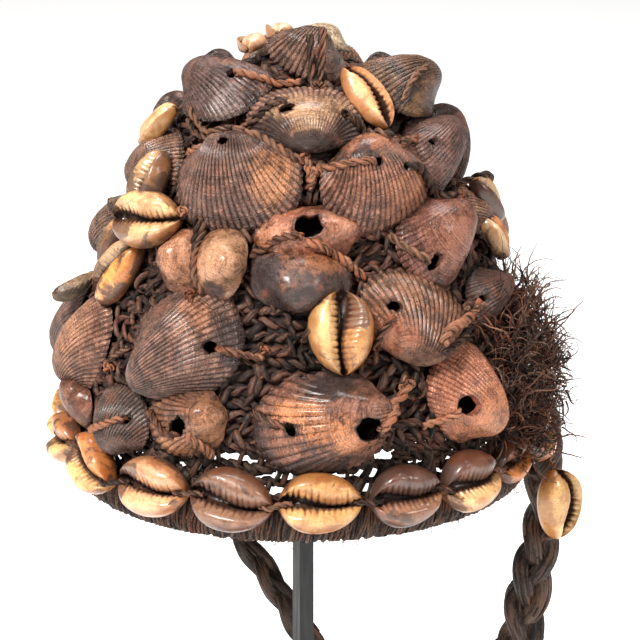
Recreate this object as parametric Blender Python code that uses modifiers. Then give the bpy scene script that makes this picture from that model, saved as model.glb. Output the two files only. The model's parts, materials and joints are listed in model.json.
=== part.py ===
"""A knotted-fibre cap covered in shells, on a plain rod stand.

Ark shells, cockles and cowries are tied all over a netted cap. A wrapped fibre
rim carries a row of cowries, a fibre tuft stands out on the wearer's left, and a
thick twisted chin strap hangs below as one loop. The cap sits on a square steel
rod with a flat base plate.

Metres, +Z up. The origin is the middle of the base plate's underside, and the
hat's front faces -Y. Azimuths run from the front towards +X.
"""

import math
from collections import namedtuple

import bmesh
import bpy
from mathutils import Matrix, Vector, noise

MM = 0.001
GAP = 0.3 * MM
OUTLINE_GROWN = 1.5 * GAP

# The stand: a square rod on a plate, with a small turned head inside the crown.
RIM_HEIGHT = 190 * MM
BASE_SIDE = 130 * MM
BASE_THICK = 8 * MM
BASE_EDGE = 1 * MM
ROD_SIDE = 5.1 * MM
ROD_TURN = 27.5
ROD_PLACE = 0.8 * MM
HEAD_RADIUS = 17 * MM
HEAD_THICK = 6 * MM
HEAD_CLEAR = 1 * MM

# The netted cap: height over the rim's underside, and outer radius, in millimetres.
NETTING = [
    (30, 69.8),
    (44, 67.5),
    (56, 63.5),
    (69, 58.5),
    (81, 53.0),
    (92, 48.0),
    (106, 41.5),
    (115, 36.5),
    (121, 31.5),
    (125, 26.0),
    (128, 19.0),
    (130, 10.0),
    (130.5, 0.0),
]
NET_THICK = 3 * MM
NET_STEPS = 30
SLOPE_REACH = 7.0

# The open band of upright cords between the netting and the rim.
BAND_RADIUS = 69.3 * MM
BAND_THICK = 2.2 * MM
BAND_LOW = 13.0 * MM
BAND_TALL = 16.5 * MM
BAND_RAIL = 5.0 * MM
WINDOW_WIDE = 7.0 * MM
WINDOW_DEEP = 10 * MM
WINDOWS = 30

# The wrapped rim.
RIM_RADIUS = 69.3 * MM
RIM_HALF_WIDE = 4.4 * MM
RIM_HALF_TALL = 6.3 * MM

# Growth of a bivalve: each ring of the shell is the margin shrunk and swung about
# the hinge, so the beak curls over by itself.
CURL = 0.85
CURL_END = 1.75
KNOB_START = 0.6
HINGE_SET_BACK = 0.05
MARGIN_SQUARED = 0.86
HINGE_SQUARED = 0.74
PEAK = 0.365
WALL_KEPT = 0.75
WALL_AGE = 0.45
EDGE_WIDTH = 0.07

# The rim's cowries.
RIM_COWRIE_HEIGHT = 13.6 * MM
RIM_COWRIE_RADIUS = 72.9 * MM
RIM_COWRIE_LEAN = 14
THREAD = 1.1 * MM
RIM_THREAD_DEPTH = 5 * MM
RIM_THREAD_END = 5 * MM

# A cowrie's outer side: the two lips and the slit sunk between them.
LIP_START = 0.3
LIP_INSET = 0.62
SLIT_SHARE = 0.96
SLIT_SUNK = 0.55
BLUNT_END = 0.12

FIBRE = (0.060, 0.036, 0.027)
STEEL = (0.035, 0.035, 0.037)
UMBER = (0.150, 0.092, 0.068)
MAUVE = (0.135, 0.088, 0.076)
SLATE = (0.100, 0.082, 0.076)
RUST = (0.300, 0.130, 0.060)
TAN = (0.330, 0.200, 0.115)
CREAM = (0.620, 0.430, 0.230)
AMBER = (0.480, 0.240, 0.080)

# Bivalves, from the one that lies on top to the one underneath. Azimuth, turn, lean
# and side are in degrees: turn is how far the beak points clockwise from straight up,
# lean and side tip the shell out of the netting's slope. Height over the rim's
# underside, sizes and lift off the netting are in millimetres.
Valve = namedtuple(
    "Valve", "name azimuth height turn length tall bulge lift lean side skew colour"
)
VALVES = [
    Valve("valve_fan", 34, 64.5, 208, 40, 26, 11, 1.5, -4, 0, 0.04, TAN),
    Valve("valve_crown_top", 10, 130, 34, 25.5, 15.5, 9, 6, -32, 0, 0.0, UMBER),
    Valve("valve_crown_left", -53, 124.5, -92, 27, 31, 11, 1.5, -8, 0, 0.0, SLATE),
    Valve("valve_crown_right", 69, 122.5, 112, 25, 28, 12, 4, -6, 0, 0.0, UMBER),
    Valve("valve_crown_front", 3.5, 121, 178, 35, 23, 11, 1, -8, 0, 0.0, TAN),
    Valve("valve_front_left", -24.5, 102.2, -8, 42, 30, 12, 1, -2, 0, 0.04, UMBER),
    Valve("valve_front_right", 32, 102, -14, 40, 28, 12, 1, 0, 0, 0.05, RUST),
    Valve("valve_low_front", 5, 37, 82, 31, 40, 12, 1, 0, 0, 0.04, RUST),
    Valve("valve_low_right", 45.5, 40.7, 150, 29, 30, 12, 1, 0, 0, 0.0, TAN),
    Valve("valve_right_mid", 48.5, 83, 60, 28, 30, 13, 1, 0, 0, 0.0, MAUVE),
    Valve("valve_low_left", -31, 57.5, -125, 34, 38, 12, 1, 0, 0, 0.14, SLATE),
    Valve("valve_broken_upper", 1.5, 90, 90, 18, 30, 10, 1.5, 4, 0, 0.0, TAN),
    Valve("valve_smooth_front", 0.5, 79, 180, 31, 21, 11, 1.5, 2, 0, 0.0, RUST),
    Valve("nut_right", -25, 80.5, 95, 22.5, 18.5, 9.5, 3, 0, -10, 0.0, TAN),
    Valve("nut_left", -38.5, 79.5, -95, 20, 13.5, 8, 2, 0, 12, 0.0, TAN),
    Valve("valve_left_fine", -49, 31.5, 176, 25, 20, 9.5, 1.5, 0, 0, 0.0, SLATE),
    Valve("valve_low_broken", -29, 35.5, 72, 23, 27, 10, 1.5, 0, 0, 0.0, TAN),
    Valve("valve_right_dark", 62.5, 105.5, 64, 24, 29, 13, 1, 0, 0, 0.0, MAUVE),
    Valve("valve_left_ribbed", -69, 102.5, 208, 27, 21, 11, 1, 0, 0, 0.0, UMBER),
    Valve("valve_left_edge", -72, 48, 200, 29, 30, 11, 1, 0, 0, 0.0, TAN),
    Valve("valve_right_small", 65.5, 63, 80, 17, 23, 9, 1, 0, 0, 0.0, MAUVE),
    Valve("valve_left_smooth", -72, 28.5, 12, 22, 15, 8, 1.5, 0, 0, 0.0, UMBER),
    Valve("valve_right_ribbed", 80, 86.5, 150, 17, 16, 7, 3, 0, 0, 0.0, UMBER),
    Valve("valve_crown_peak", 156, 129.5, 180, 21, 19, 8.5, 4, 0, 0, 0.0, TAN),
    Valve("valve_crown_dark", 122, 121.5, 0, 19, 15, 7.5, 1, 0, 0, 0.0, UMBER),
    Valve("valve_crown_back", -124, 121, 0, 21, 16, 8, 1.5, 0, 0, 0.0, UMBER),
    Valve("valve_right_back", 91, 102.5, 20, 22, 25, 11, 1.5, 0, 0, 0.0, UMBER),
    Valve("shell_shard", -90, 57.5, 0, 12, 15, 5, 9, -135, 0, 0.0, UMBER),
    Valve("shell_chip", -80, 88, 20, 9, 10, 4, 6.5, -120, 0, 0.0, UMBER),
]

# Cowries sewn on the cap, slit outwards. Turn is that of the long axis.
Cowrie = namedtuple(
    "Cowrie", "name azimuth height turn length width lift lean side colour"
)
COWRIES = [
    Cowrie("cowrie_front", 11, 62.5, 0, 25.5, 20, 1.5, 0, 0, CREAM),
    Cowrie("cowrie_crown", 37.5, 122.3, -16, 23, 11.8, 4, -18, 0, AMBER),
    Cowrie("cowrie_left", -55, 87.5, 72, 24, 18, 5, 0, 20, CREAM),
    Cowrie("cowrie_left_low", -64, 70.5, 30, 26, 15, 1.5, 0, 0, AMBER),
    Cowrie("cowrie_left_high", -61, 97.5, 4, 20, 15, 4.5, 0, 0, TAN),
    Cowrie("cowrie_left_peak", -77, 110.8, 34, 20, 11, 5, 0, 0, CREAM),
    Cowrie("cowrie_left_back", -78, 75.5, 20, 17, 10, 3, 0, 0, AMBER),
    Cowrie("cowrie_right_olive", 86, 85.5, -38, 22, 12, 6, 0, 0, TAN),
    Cowrie("cowrie_right_low", 81, 75.5, -20, 17, 11, 4.5, 0, 0, AMBER),
    Cowrie("cowrie_top_left", -108, 129.2, 80, 14, 9, 6, 0, 0, CREAM),
    Cowrie("cowrie_top_back", -152, 129.8, 30, 15, 9, 7.5, 0, 0, CREAM),
]

# Drilled and broken holes in the valves: place from the margin's middle, in shares of
# the half length and half height, and width and height in millimetres.
Hole = namedtuple("Hole", "valve across along wide tall")
HOLES = [
    Hole("valve_low_front", 0.12, 0.66, 8.0, 8.0),
    Hole("valve_low_right", 0.45, -0.03, 5.5, 7.0),
    Hole("valve_broken_upper", -0.06, 0.06, 7.0, 9.0),
    Hole("valve_low_left", -0.35, -0.45, 4.2, 4.4),
    Hole("valve_fan", 0.4, 0.05, 4.2, 3.8),
    Hole("valve_right_mid", 0.1, -0.5, 3.6, 5.6),
]

# The other rim cowries and the shells round the back, tied along their thread. Each
# row gives its first and last azimuth, the number of shells and their sizes.
RimRun = namedtuple("RimRun", "name first last count length")
RIM_RUNS = [
    RimRun("rim_cowries_left", -96, -56, 3, 24),
    RimRun("rim_cowries_front", -35.5, 25, 4, 25.5),
    RimRun("rim_cowries_right", 43, 80, 3, 22),
    RimRun("rim_cowries_back_right", 101, 161, 4, 25),
    RimRun("rim_cowries_back_left", 182, 242, 4, 25),
]
RIM_COWRIE_WIDTH = 19 * MM

BackRow = namedtuple("BackRow", "name height first last count length tall bulge")
BACK_ROWS = [
    BackRow("back_shells_low_right", 43, 116, 172, 3, 31, 27, 11),
    BackRow("back_shells_low_left", 43, 200, 256, 3, 31, 27, 11),
    BackRow("back_shells_mid_right", 74, 112, 172, 3, 28, 25, 11),
    BackRow("back_shells_mid_left", 74, 199, 251, 3, 27, 24, 10),
    BackRow("back_shells_high", 102, 122, 238, 4, 26, 22, 10),
    BackRow("back_shells_crown", 122, 160, 198, 2, 21, 16, 8),
]

BACK_LIFT = 3.0
BACK_THREAD_DEPTH = 2.5 * MM
BACK_THREAD_END = 1 * MM

# The chin strap's route, in millimetres from the middle of the rim's underside: down
# from the back left of the rim, round its bottom and up to the right side.
STRAP_RADIUS = 5.2 * MM
STRAP_ROUTE = [
    (-41.5, 55.5, -1.5),
    (-40, 55.5, -11),
    (-34, 52.5, -23),
    (-26, 48.5, -35),
    (-17.5, 43.5, -46.5),
    (-8, 38, -59.5),
    (2, 31.5, -74),
    (13.5, 24.5, -89),
    (26, 18.5, -103.5),
    (38, 13.5, -114),
    (51, 9.5, -118),
    (62, 6.5, -110),
    (68.5, 4, -96),
    (71, 3, -80),
    (72.2, 2.5, -62),
    (74.6, 1.5, -43),
    (78.2, 0.5, -25),
    (78.8, 0, -11),
    (76.5, 0, -1.5),
]
STRAP_POINTS = 25
TUBE_RESOLUTION = 2
STRAP_COWRIE = (79.8, -8.5, -10.5)
STRAP_COWRIE_SIZE = (24, 16)
STRAP_COWRIE_FACING = 48
STRAP_COWRIE_LEAN = 3

# The fibre tuft on the right side.
TUFT_AZIMUTH = 77
TUFT_CENTRE = (81.5, 43)
TUFT_HALF = (21, 10.5, 25)
TUFT_LUMPS = 2.5 * MM
TUFT_LUMP_SEED = (4, 2, 7)


def fresh_collection(name):
    collection = bpy.data.collections.new(name)
    bpy.context.scene.collection.children.link(collection)
    return collection


def material(name, colour, roughness, metallic=0.0):
    made = bpy.data.materials.new(name)
    made.use_nodes = True
    shader = made.node_tree.nodes["Principled BSDF"]
    shader.inputs["Base Color"].default_value = (*colour, 1)
    shader.inputs["Roughness"].default_value = roughness
    shader.inputs["Metallic"].default_value = metallic
    return made


def add(name, mesh, colour, roughness=0.6, metallic=0.0, matrix=None, collection=None):
    """One named object with a material of its own."""
    thing = bpy.data.objects.new(name, mesh)
    (collection or PARTS).objects.link(thing)
    if matrix is not None:
        thing.matrix_world = matrix
    mesh.materials.clear()
    mesh.materials.append(material(name, colour, roughness, metallic))
    return thing


def mesh_from(name, shape):
    """The finished bmesh as a mesh, smooth but for its sharp edges."""
    bmesh.ops.recalc_face_normals(shape, faces=shape.faces)
    mesh = bpy.data.meshes.new(name)
    shape.to_mesh(mesh)
    shape.free()
    mesh.shade_smooth()
    mesh.set_sharp_from_angle(angle=math.radians(50))
    return mesh


def net_radius(height):
    """The netting's outer radius at a height over the rim's underside, in mm."""
    for (low, wide), (high, narrow) in zip(NETTING, NETTING[1:]):
        if height <= high:
            share = max(0.0, (height - low) / (high - low))
            return wide + share * (narrow - wide)
    return 0.0


def net_slope(height):
    """How far the netting's outward normal tips up, in radians."""
    low = max(height - SLOPE_REACH, 0.0)
    high = min(height + SLOPE_REACH, NETTING[-1][0])
    return math.atan2(net_radius(low) - net_radius(high), high - low)


def seat(azimuth, radius, height, slope, turn=0.0, side=0.0):
    """A place on the hat: +Z out of it, +Y up it, turned clockwise as seen."""
    round_hat = Matrix.Rotation(math.radians(azimuth), 4, "Z")
    out = Matrix.Translation((0, -radius, RIM_HEIGHT + height))
    face = Matrix.Rotation(math.radians(90) - slope, 4, "X")
    lean = Matrix.Rotation(math.radians(side), 4, "Y")
    return round_hat @ out @ face @ lean @ Matrix.Rotation(math.radians(-turn), 4, "Z")


def on_netting(azimuth, height, turn, lift, lean=0.0, side=0.0):
    """A seat lifted off the netting, leaning out of its slope."""
    slope = net_slope(height)
    radius = net_radius(height) + lift * math.cos(slope)
    raised = height + lift * math.sin(slope)
    tilt = slope + math.radians(lean)
    return seat(azimuth, radius * MM, raised * MM, tilt, turn, side)


def bridge_rings(shape, rings):
    for lower, upper in zip(rings, rings[1:]):
        count = len(lower)
        for i in range(count):
            j = (i + 1) % count
            shape.faces.new((lower[i], lower[j], upper[j], upper[i]))


def fan(shape, ring, centre):
    tip = shape.verts.new(centre)
    for i in range(len(ring)):
        shape.faces.new((ring[i], ring[(i + 1) % len(ring)], tip))


def margin_points(length, tall, skew, around):
    """The valve's edge, its hinge side near the origin and its body towards -Y."""
    points = []
    for i in range(around):
        turn = 2 * math.pi * i / around
        squared = HINGE_SQUARED if math.sin(turn) > 0 else MARGIN_SQUARED
        across = math.copysign(abs(math.cos(turn)) ** squared, math.cos(turn))
        along = math.copysign(abs(math.sin(turn)) ** squared, math.sin(turn))
        x = length * (across / 2 + skew)
        y = tall * (along / 2 - 0.5 - HINGE_SET_BACK)
        points.append((x, y))
    return points


def growth_ring(margin, age, bulge, tall):
    """The margin at an earlier age (1 is the beak), swung about the hinge."""
    swing = CURL_END * age
    size = math.exp(-CURL * swing)
    rise = bulge / (PEAK * tall * (1 + HINGE_SET_BACK))
    ring = [
        Vector((size * x, size * y * math.cos(swing), -size * y * math.sin(swing) * rise))
        for x, y in margin
    ]
    past = max(0.0, (age - KNOB_START) / (1 - KNOB_START))
    middle = sum(ring, Vector()) / len(ring)
    return [middle.lerp(point, math.sqrt(1 - min(past, 1.0) ** 2)) for point in ring]


def valve_shape(length, tall, bulge, skew=0.0, around=12, levels=5, hollow=True):
    """One valve of a bivalve: domed, curled at the beak, and hollow underneath."""
    shape = bmesh.new()
    centre = Vector((skew * length, -tall * (0.5 + HINGE_SET_BACK), 0))
    margin = margin_points(length, tall, skew, around)
    outer = []
    for level in range(levels):
        ring = growth_ring(margin, level / levels, bulge, tall)
        outer.append([shape.verts.new(p - centre) for p in ring])
    bridge_rings(shape, outer)
    fan(shape, outer[-1], growth_ring(margin, 1, bulge, tall)[0] - centre)
    if not hollow:
        fan(shape, outer[0], Vector((0, 0, 0.04 * bulge)))
        return shape
    inner = [outer[0]]
    for age in (0.0, WALL_AGE):
        ring = [p - centre for p in growth_ring(margin, age, bulge, tall)]
        kept = Vector((1 - EDGE_WIDTH, 1 - EDGE_WIDTH, WALL_KEPT))
        inner.append([shape.verts.new(p * kept) for p in ring])
    bridge_rings(shape, inner)
    roof = sum((v.co for v in inner[-1]), Vector()) / around
    fan(shape, inner[-1], roof)
    return shape


def cowrie_shape(length, width, front=0.34, back=0.17, around=10, along=6):
    """A cowrie with its back cut away: an egg whose outer side is parted by a slit."""
    shape = bmesh.new()
    bmesh.ops.create_uvsphere(shape, u_segments=around, v_segments=along, radius=1)
    for vert in shape.verts:
        x, y, end = vert.co
        reach = math.hypot(x, y)
        turn = math.atan2(y, x)
        girth = width / 2 * (1 + BLUNT_END * end) * reach**0.9
        lip = math.sin(turn)
        across = math.cos(turn)
        if lip > LIP_START:
            across = across * LIP_INSET
        depth = 2 * (front if lip > 0 else back) * lip
        if lip > SLIT_SHARE and reach > 0:
            depth = depth * SLIT_SUNK
        up = depth * girth + back * width
        vert.co = Vector((across * girth, end * length / 2, up))
    return shape


def move(shape, matrix):
    bmesh.ops.transform(shape, matrix=matrix, verts=shape.verts)
    return shape


def gather(name, shapes):
    """Several shapes in one mesh, still separate bodies."""
    whole = bmesh.new()
    for shape in shapes:
        bmesh.ops.recalc_face_normals(shape, faces=shape.faces)
        held = bpy.data.meshes.new(name + "_held")
        shape.to_mesh(held)
        shape.free()
        whole.from_mesh(held)
        bpy.data.meshes.remove(held)
    return mesh_from(name, whole)


def tube_shape(name, points, radius):
    """A round tube along points, closed at its ends."""
    curve = bpy.data.curves.new(name, "CURVE")
    curve.dimensions = "3D"
    curve.bevel_depth = radius
    curve.bevel_resolution = TUBE_RESOLUTION
    curve.use_fill_caps = True
    spline = curve.splines.new("POLY")
    spline.points.add(len(points) - 1)
    for spot, place in zip(spline.points, points):
        spot.co = (*place, 1)
    guide = bpy.data.objects.new(name, curve)
    bpy.context.scene.collection.objects.link(guide)
    bpy.context.view_layer.update()
    seen = guide.evaluated_get(bpy.context.evaluated_depsgraph_get())
    mesh = bpy.data.meshes.new_from_object(seen)
    bpy.data.objects.remove(guide)
    bpy.data.curves.remove(curve)
    shape = bmesh.new()
    shape.from_mesh(mesh)
    bpy.data.meshes.remove(mesh)
    bmesh.ops.remove_doubles(shape, verts=shape.verts, dist=0.01 * MM)
    return shape


def smooth_route(stops, count):
    """Evenly spaced points on a smooth curve through the stops."""
    stops = [Vector(stop) for stop in stops]
    ends = [2 * stops[0] - stops[1], *stops, 2 * stops[-1] - stops[-2]]
    fine = []
    for a, b, c, d in zip(ends, ends[1:], ends[2:], ends[3:]):
        for step in range(20):
            t = step / 20
            fine.append(
                0.5
                * (
                    2 * b
                    + (c - a) * t
                    + (2 * a - 5 * b + 4 * c - d) * t**2
                    + (3 * b - a - 3 * c + d) * t**3
                )
            )
    fine.append(stops[-1])
    reach = [0.0]
    for a, b in zip(fine, fine[1:]):
        reach.append(reach[-1] + (b - a).length)
    route = []
    i = 0
    for step in range(count):
        goal = reach[-1] * step / (count - 1)
        while i < len(fine) - 2 and reach[i + 1] < goal:
            i += 1
        share = (goal - reach[i]) / max(reach[i + 1] - reach[i], 1e-9)
        route.append(fine[i].lerp(fine[i + 1], min(share, 1.0)))
    return route


def turned(name, outline, steps):
    """A closed outline turned about the vertical axis."""
    mesh = bpy.data.meshes.new(name)
    count = len(outline)
    closed = outline[0][0] > 0 or outline[-1][0] > 0
    edges = [(i, i + 1) for i in range(count - 1)]
    if closed:
        edges.append((count - 1, 0))
    mesh.from_pydata([(x, 0, z) for x, z in outline], edges, [])
    thing = bpy.data.objects.new(name, mesh)
    PARTS.objects.link(thing)
    screw = thing.modifiers.new("turn", "SCREW")
    screw.steps = steps
    screw.render_steps = steps
    screw.use_merge_vertices = True
    screw.merge_threshold = 0.05 * MM
    screw.use_normal_calculate = False
    return thing


def cut(thing, cutter, operation="DIFFERENCE"):
    knife = thing.modifiers.new("cut", "BOOLEAN")
    knife.operation = operation
    knife.object = cutter
    return knife


def as_cutter(name, mesh, matrix=None):
    tool = bpy.data.objects.new(name, mesh)
    CUTTERS.objects.link(tool)
    if matrix is not None:
        tool.matrix_world = matrix
    tool.hide_render = True
    tool.display_type = "WIRE"
    return tool


def hull_cutter(name, mesh, matrix):
    """A piece's convex outline, grown by the gap that its neighbour keeps."""
    hull = bmesh.new()
    for vert in mesh.vertices:
        hull.verts.new(vert.co)
    bmesh.ops.convex_hull(hull, input=hull.verts)
    loose = [v for v in hull.verts if not v.link_faces]
    bmesh.ops.delete(hull, geom=loose, context="VERTS")
    bmesh.ops.recalc_face_normals(hull, faces=hull.faces)
    hull.normal_update()
    grown = [v.co + v.normal * OUTLINE_GROWN for v in hull.verts]
    for vert, place in zip(hull.verts, grown):
        vert.co = place
    outline = bpy.data.meshes.new(name)
    hull.to_mesh(outline)
    hull.free()
    tool = as_cutter(name, outline, matrix)
    return tool, world_box(tool)


def world_box(thing):
    corners = [thing.matrix_world @ v.co for v in thing.data.vertices]
    low = Vector([min(c[k] for c in corners) for k in range(3)])
    high = Vector([max(c[k] for c in corners) for k in range(3)])
    return low, high


def near(first, second):
    low_a, high_a = first
    low_b, high_b = second
    return all(low_a[k] < high_b[k] and low_b[k] < high_a[k] for k in range(3))


def build_cap():
    """The netted cap: a dome of knotted cord, open below."""
    outer = [(radius * MM, height * MM) for height, radius in reversed(NETTING)]
    inner = []
    for height, radius in NETTING[:-1]:
        slope = net_slope(height) if height > NETTING[0][0] else 0.0
        inner.append(
            (
                radius * MM - NET_THICK * math.cos(slope),
                height * MM - NET_THICK * math.sin(slope),
            )
        )
    inner.append((0.0, NETTING[-1][0] * MM - NET_THICK))
    cap = turned("cap", outer + inner, NET_STEPS)
    cap.location.z = RIM_HEIGHT
    cap.data.materials.append(material("cap", FIBRE, 0.9))
    return cap


def build_band():
    """Upright cords with gaps between them, joining the netting to the rim."""
    half = BAND_THICK / 2
    high = BAND_LOW + BAND_TALL
    outline = [
        (BAND_RADIUS + half, high),
        (BAND_RADIUS + half, BAND_LOW),
        (BAND_RADIUS - half, BAND_LOW),
        (BAND_RADIUS - half, high),
    ]
    band = turned("openwork_band", outline, 2 * WINDOWS)
    band.location.z = RIM_HEIGHT
    band.data.materials.append(material("openwork_band", FIBRE, 0.9))
    slots = []
    for i in range(WINDOWS):
        slot = bmesh.new()
        bmesh.ops.create_cube(slot, size=1)
        size = Matrix.Diagonal((WINDOW_WIDE, WINDOW_DEEP, BAND_TALL - 2 * BAND_RAIL, 1))
        place = Matrix.Translation((0, -BAND_RADIUS, BAND_LOW + BAND_TALL / 2))
        step = Matrix.Rotation(2 * math.pi * (i + 0.5) / WINDOWS, 4, "Z")
        slots.append(move(slot, step @ place @ size))
    lift = Matrix.Translation((0, 0, RIM_HEIGHT))
    cut(band, as_cutter("band_windows", gather("band_windows", slots), lift))


def build_rim():
    """The rim: a thick bundle bound round and round with fibre."""
    bpy.ops.mesh.primitive_torus_add(
        major_segments=40,
        minor_segments=10,
        major_radius=RIM_RADIUS,
        minor_radius=RIM_HALF_WIDE,
    )
    rim = bpy.context.object
    rim.name = "rim_ring"
    mesh = rim.data
    stretch = Matrix.Diagonal((1, 1, RIM_HALF_TALL / RIM_HALF_WIDE, 1))
    mesh.transform(stretch)
    mesh.shade_smooth()
    mesh.materials.append(material("rim_ring", FIBRE, 0.9))
    rim.location = (0, 0, RIM_HEIGHT + RIM_HALF_TALL)
    for holder in list(rim.users_collection):
        holder.objects.unlink(rim)
    PARTS.objects.link(rim)


def build_valve(row):
    shape = valve_shape(row.length * MM, row.tall * MM, row.bulge * MM, row.skew)
    place = on_netting(row.azimuth, row.height, row.turn, row.lift, row.lean, row.side)
    return add(row.name, mesh_from(row.name, shape), row.colour, 0.55, 0.0, place)


def build_cowrie(row):
    shape = cowrie_shape(row.length * MM, row.width * MM)
    place = on_netting(row.azimuth, row.height, row.turn, row.lift, row.lean, row.side)
    return add(row.name, mesh_from(row.name, shape), row.colour, 0.3, 0.0, place)


def build_front_shells():
    """Every piece that lies on top cuts the ones after it back to a gap."""
    covers = build_rim_cowries()
    covers.append(build_tuft(covers))
    cowries = [build_cowrie(row) for row in COWRIES]
    valves = [build_valve(row) for row in VALVES]
    bpy.context.view_layer.update()
    for lower in cowries + valves:
        box = world_box(lower)
        for outline, outline_box in covers:
            if near(box, outline_box):
                cut(lower, outline)
        name = lower.name + "_outline"
        covers.append(hull_cutter(name, lower.data, lower.matrix_world))
    drill_holes({thing.name: thing for thing in valves})


def drill_holes(valves):
    rows = {row.name: row for row in VALVES}
    for number, hole in enumerate(HOLES):
        row = rows[hole.valve]
        shape = bmesh.new()
        bmesh.ops.create_cone(
            shape, cap_ends=True, segments=8, radius1=0.5, radius2=0.5, depth=1
        )
        size = Matrix.Diagonal((hole.wide * MM, hole.tall * MM, 2 * row.bulge * MM, 1))
        spot = Vector((hole.across * row.length, hole.along * row.tall, 2.3 * row.bulge))
        place = Matrix.Translation(spot * MM / 2)
        name = f"hole_{number}"
        thing = valves[hole.valve]
        drill = mesh_from(name, move(shape, place @ size))
        cut(thing, as_cutter(name, drill, thing.matrix_world))


def thread_round(places, reach):
    """Points of a thread through the given places, with short ends past them."""
    points = [place.translation for place in places]
    first = points[0] + (points[0] - points[1]).normalized() * reach
    last = points[-1] + (points[-1] - points[-2]).normalized() * reach
    return [first, *points, last]


def strung(name, shapes, places, colour, roughness, depth, reach):
    """Shells joined by the thread that runs through them, as one body."""
    beads = gather(name + "_beads", [move(s, p) for s, p in zip(shapes, places)])
    sunk = [place @ Matrix.Translation((0, 0, depth)) for place in places]
    thread = tube_shape(name, thread_round(sunk, reach), THREAD)
    thing = add(name, mesh_from(name, thread), colour, roughness)
    cut(thing, as_cutter(name + "_beads", beads), "UNION")
    return thing


def build_rim_cowries():
    """The rim's row, and for each cowrie the outline that keeps others off it."""
    outlines = []
    for run in RIM_RUNS:
        step = (run.last - run.first) / (run.count - 1)
        places = [
            seat(
                run.first + step * i,
                RIM_COWRIE_RADIUS,
                RIM_COWRIE_HEIGHT,
                math.radians(RIM_COWRIE_LEAN),
                90,
            )
            for i in range(run.count)
        ]
        length = run.length * MM
        shapes = [cowrie_shape(length, RIM_COWRIE_WIDTH) for _ in places]
        strung(run.name, shapes, places, CREAM, 0.3, RIM_THREAD_DEPTH, RIM_THREAD_END)
        for i, place in enumerate(places):
            name = f"{run.name}_outline_{i}"
            whole = mesh_from(name, cowrie_shape(length, RIM_COWRIE_WIDTH))
            outlines.append(hull_cutter(name, whole, place))
    return outlines


def build_back_rows():
    for row in BACK_ROWS:
        step = (row.last - row.first) / (row.count - 1)
        places = []
        shapes = []
        for i in range(row.count):
            turn = 0 if i % 2 else 170
            place = on_netting(row.first + step * i, row.height, turn, BACK_LIFT)
            places.append(place)
            shapes.append(
                valve_shape(
                    row.length * MM,
                    row.tall * MM,
                    row.bulge * MM,
                    around=10,
                    levels=3,
                    hollow=False,
                )
            )
        strung(row.name, shapes, places, UMBER, 0.6, BACK_THREAD_DEPTH, BACK_THREAD_END)


def build_tuft(cowries):
    """The tuft's outer form: a lumpy egg of loose fibre over the rim's cowries."""
    shape = bmesh.new()
    bmesh.ops.create_icosphere(shape, subdivisions=3, radius=1)
    for vert in shape.verts:
        way = vert.co.normalized()
        swell = noise.noise(way * 2.1 + Vector(TUFT_LUMP_SEED)) * TUFT_LUMPS
        sized = Vector([way[k] * TUFT_HALF[k] * MM for k in range(3)])
        vert.co = sized + way * swell
    radius, height = TUFT_CENTRE
    round_hat = Matrix.Rotation(math.radians(TUFT_AZIMUTH), 4, "Z")
    place = round_hat @ Matrix.Translation((0, -radius * MM, RIM_HEIGHT + height * MM))
    tuft = add("fibre_tuft", mesh_from("fibre_tuft", shape), FIBRE, 0.95, 0.0, place)
    bpy.context.view_layer.update()
    for cowrie, box in cowries:
        if near(world_box(tuft), box):
            cut(tuft, cowrie)
    return hull_cutter("fibre_tuft_outline", tuft.data, tuft.matrix_world)


def build_strap():
    """The chin strap, one thick twisted cord, and the cowrie tied to it."""
    lift = Vector((0, 0, RIM_HEIGHT))
    route = smooth_route([Vector(stop) * MM + lift for stop in STRAP_ROUTE], STRAP_POINTS)
    shape = tube_shape("chin_strap", route, STRAP_RADIUS)
    add("chin_strap", mesh_from("chin_strap", shape), FIBRE, 0.85)
    spot = Vector(STRAP_COWRIE) * MM + lift
    facing = Matrix.Rotation(math.radians(STRAP_COWRIE_FACING), 4, "Z")
    upright = Matrix.Rotation(math.pi / 2, 4, "X")
    lean = Matrix.Rotation(math.radians(STRAP_COWRIE_LEAN), 4, "Z")
    length, width = STRAP_COWRIE_SIZE
    cowrie = mesh_from("strap_cowrie", cowrie_shape(length * MM, width * MM))
    place = Matrix.Translation(spot) @ facing @ upright @ lean
    add("strap_cowrie", cowrie, CREAM, 0.3, 0.0, place)


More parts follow.
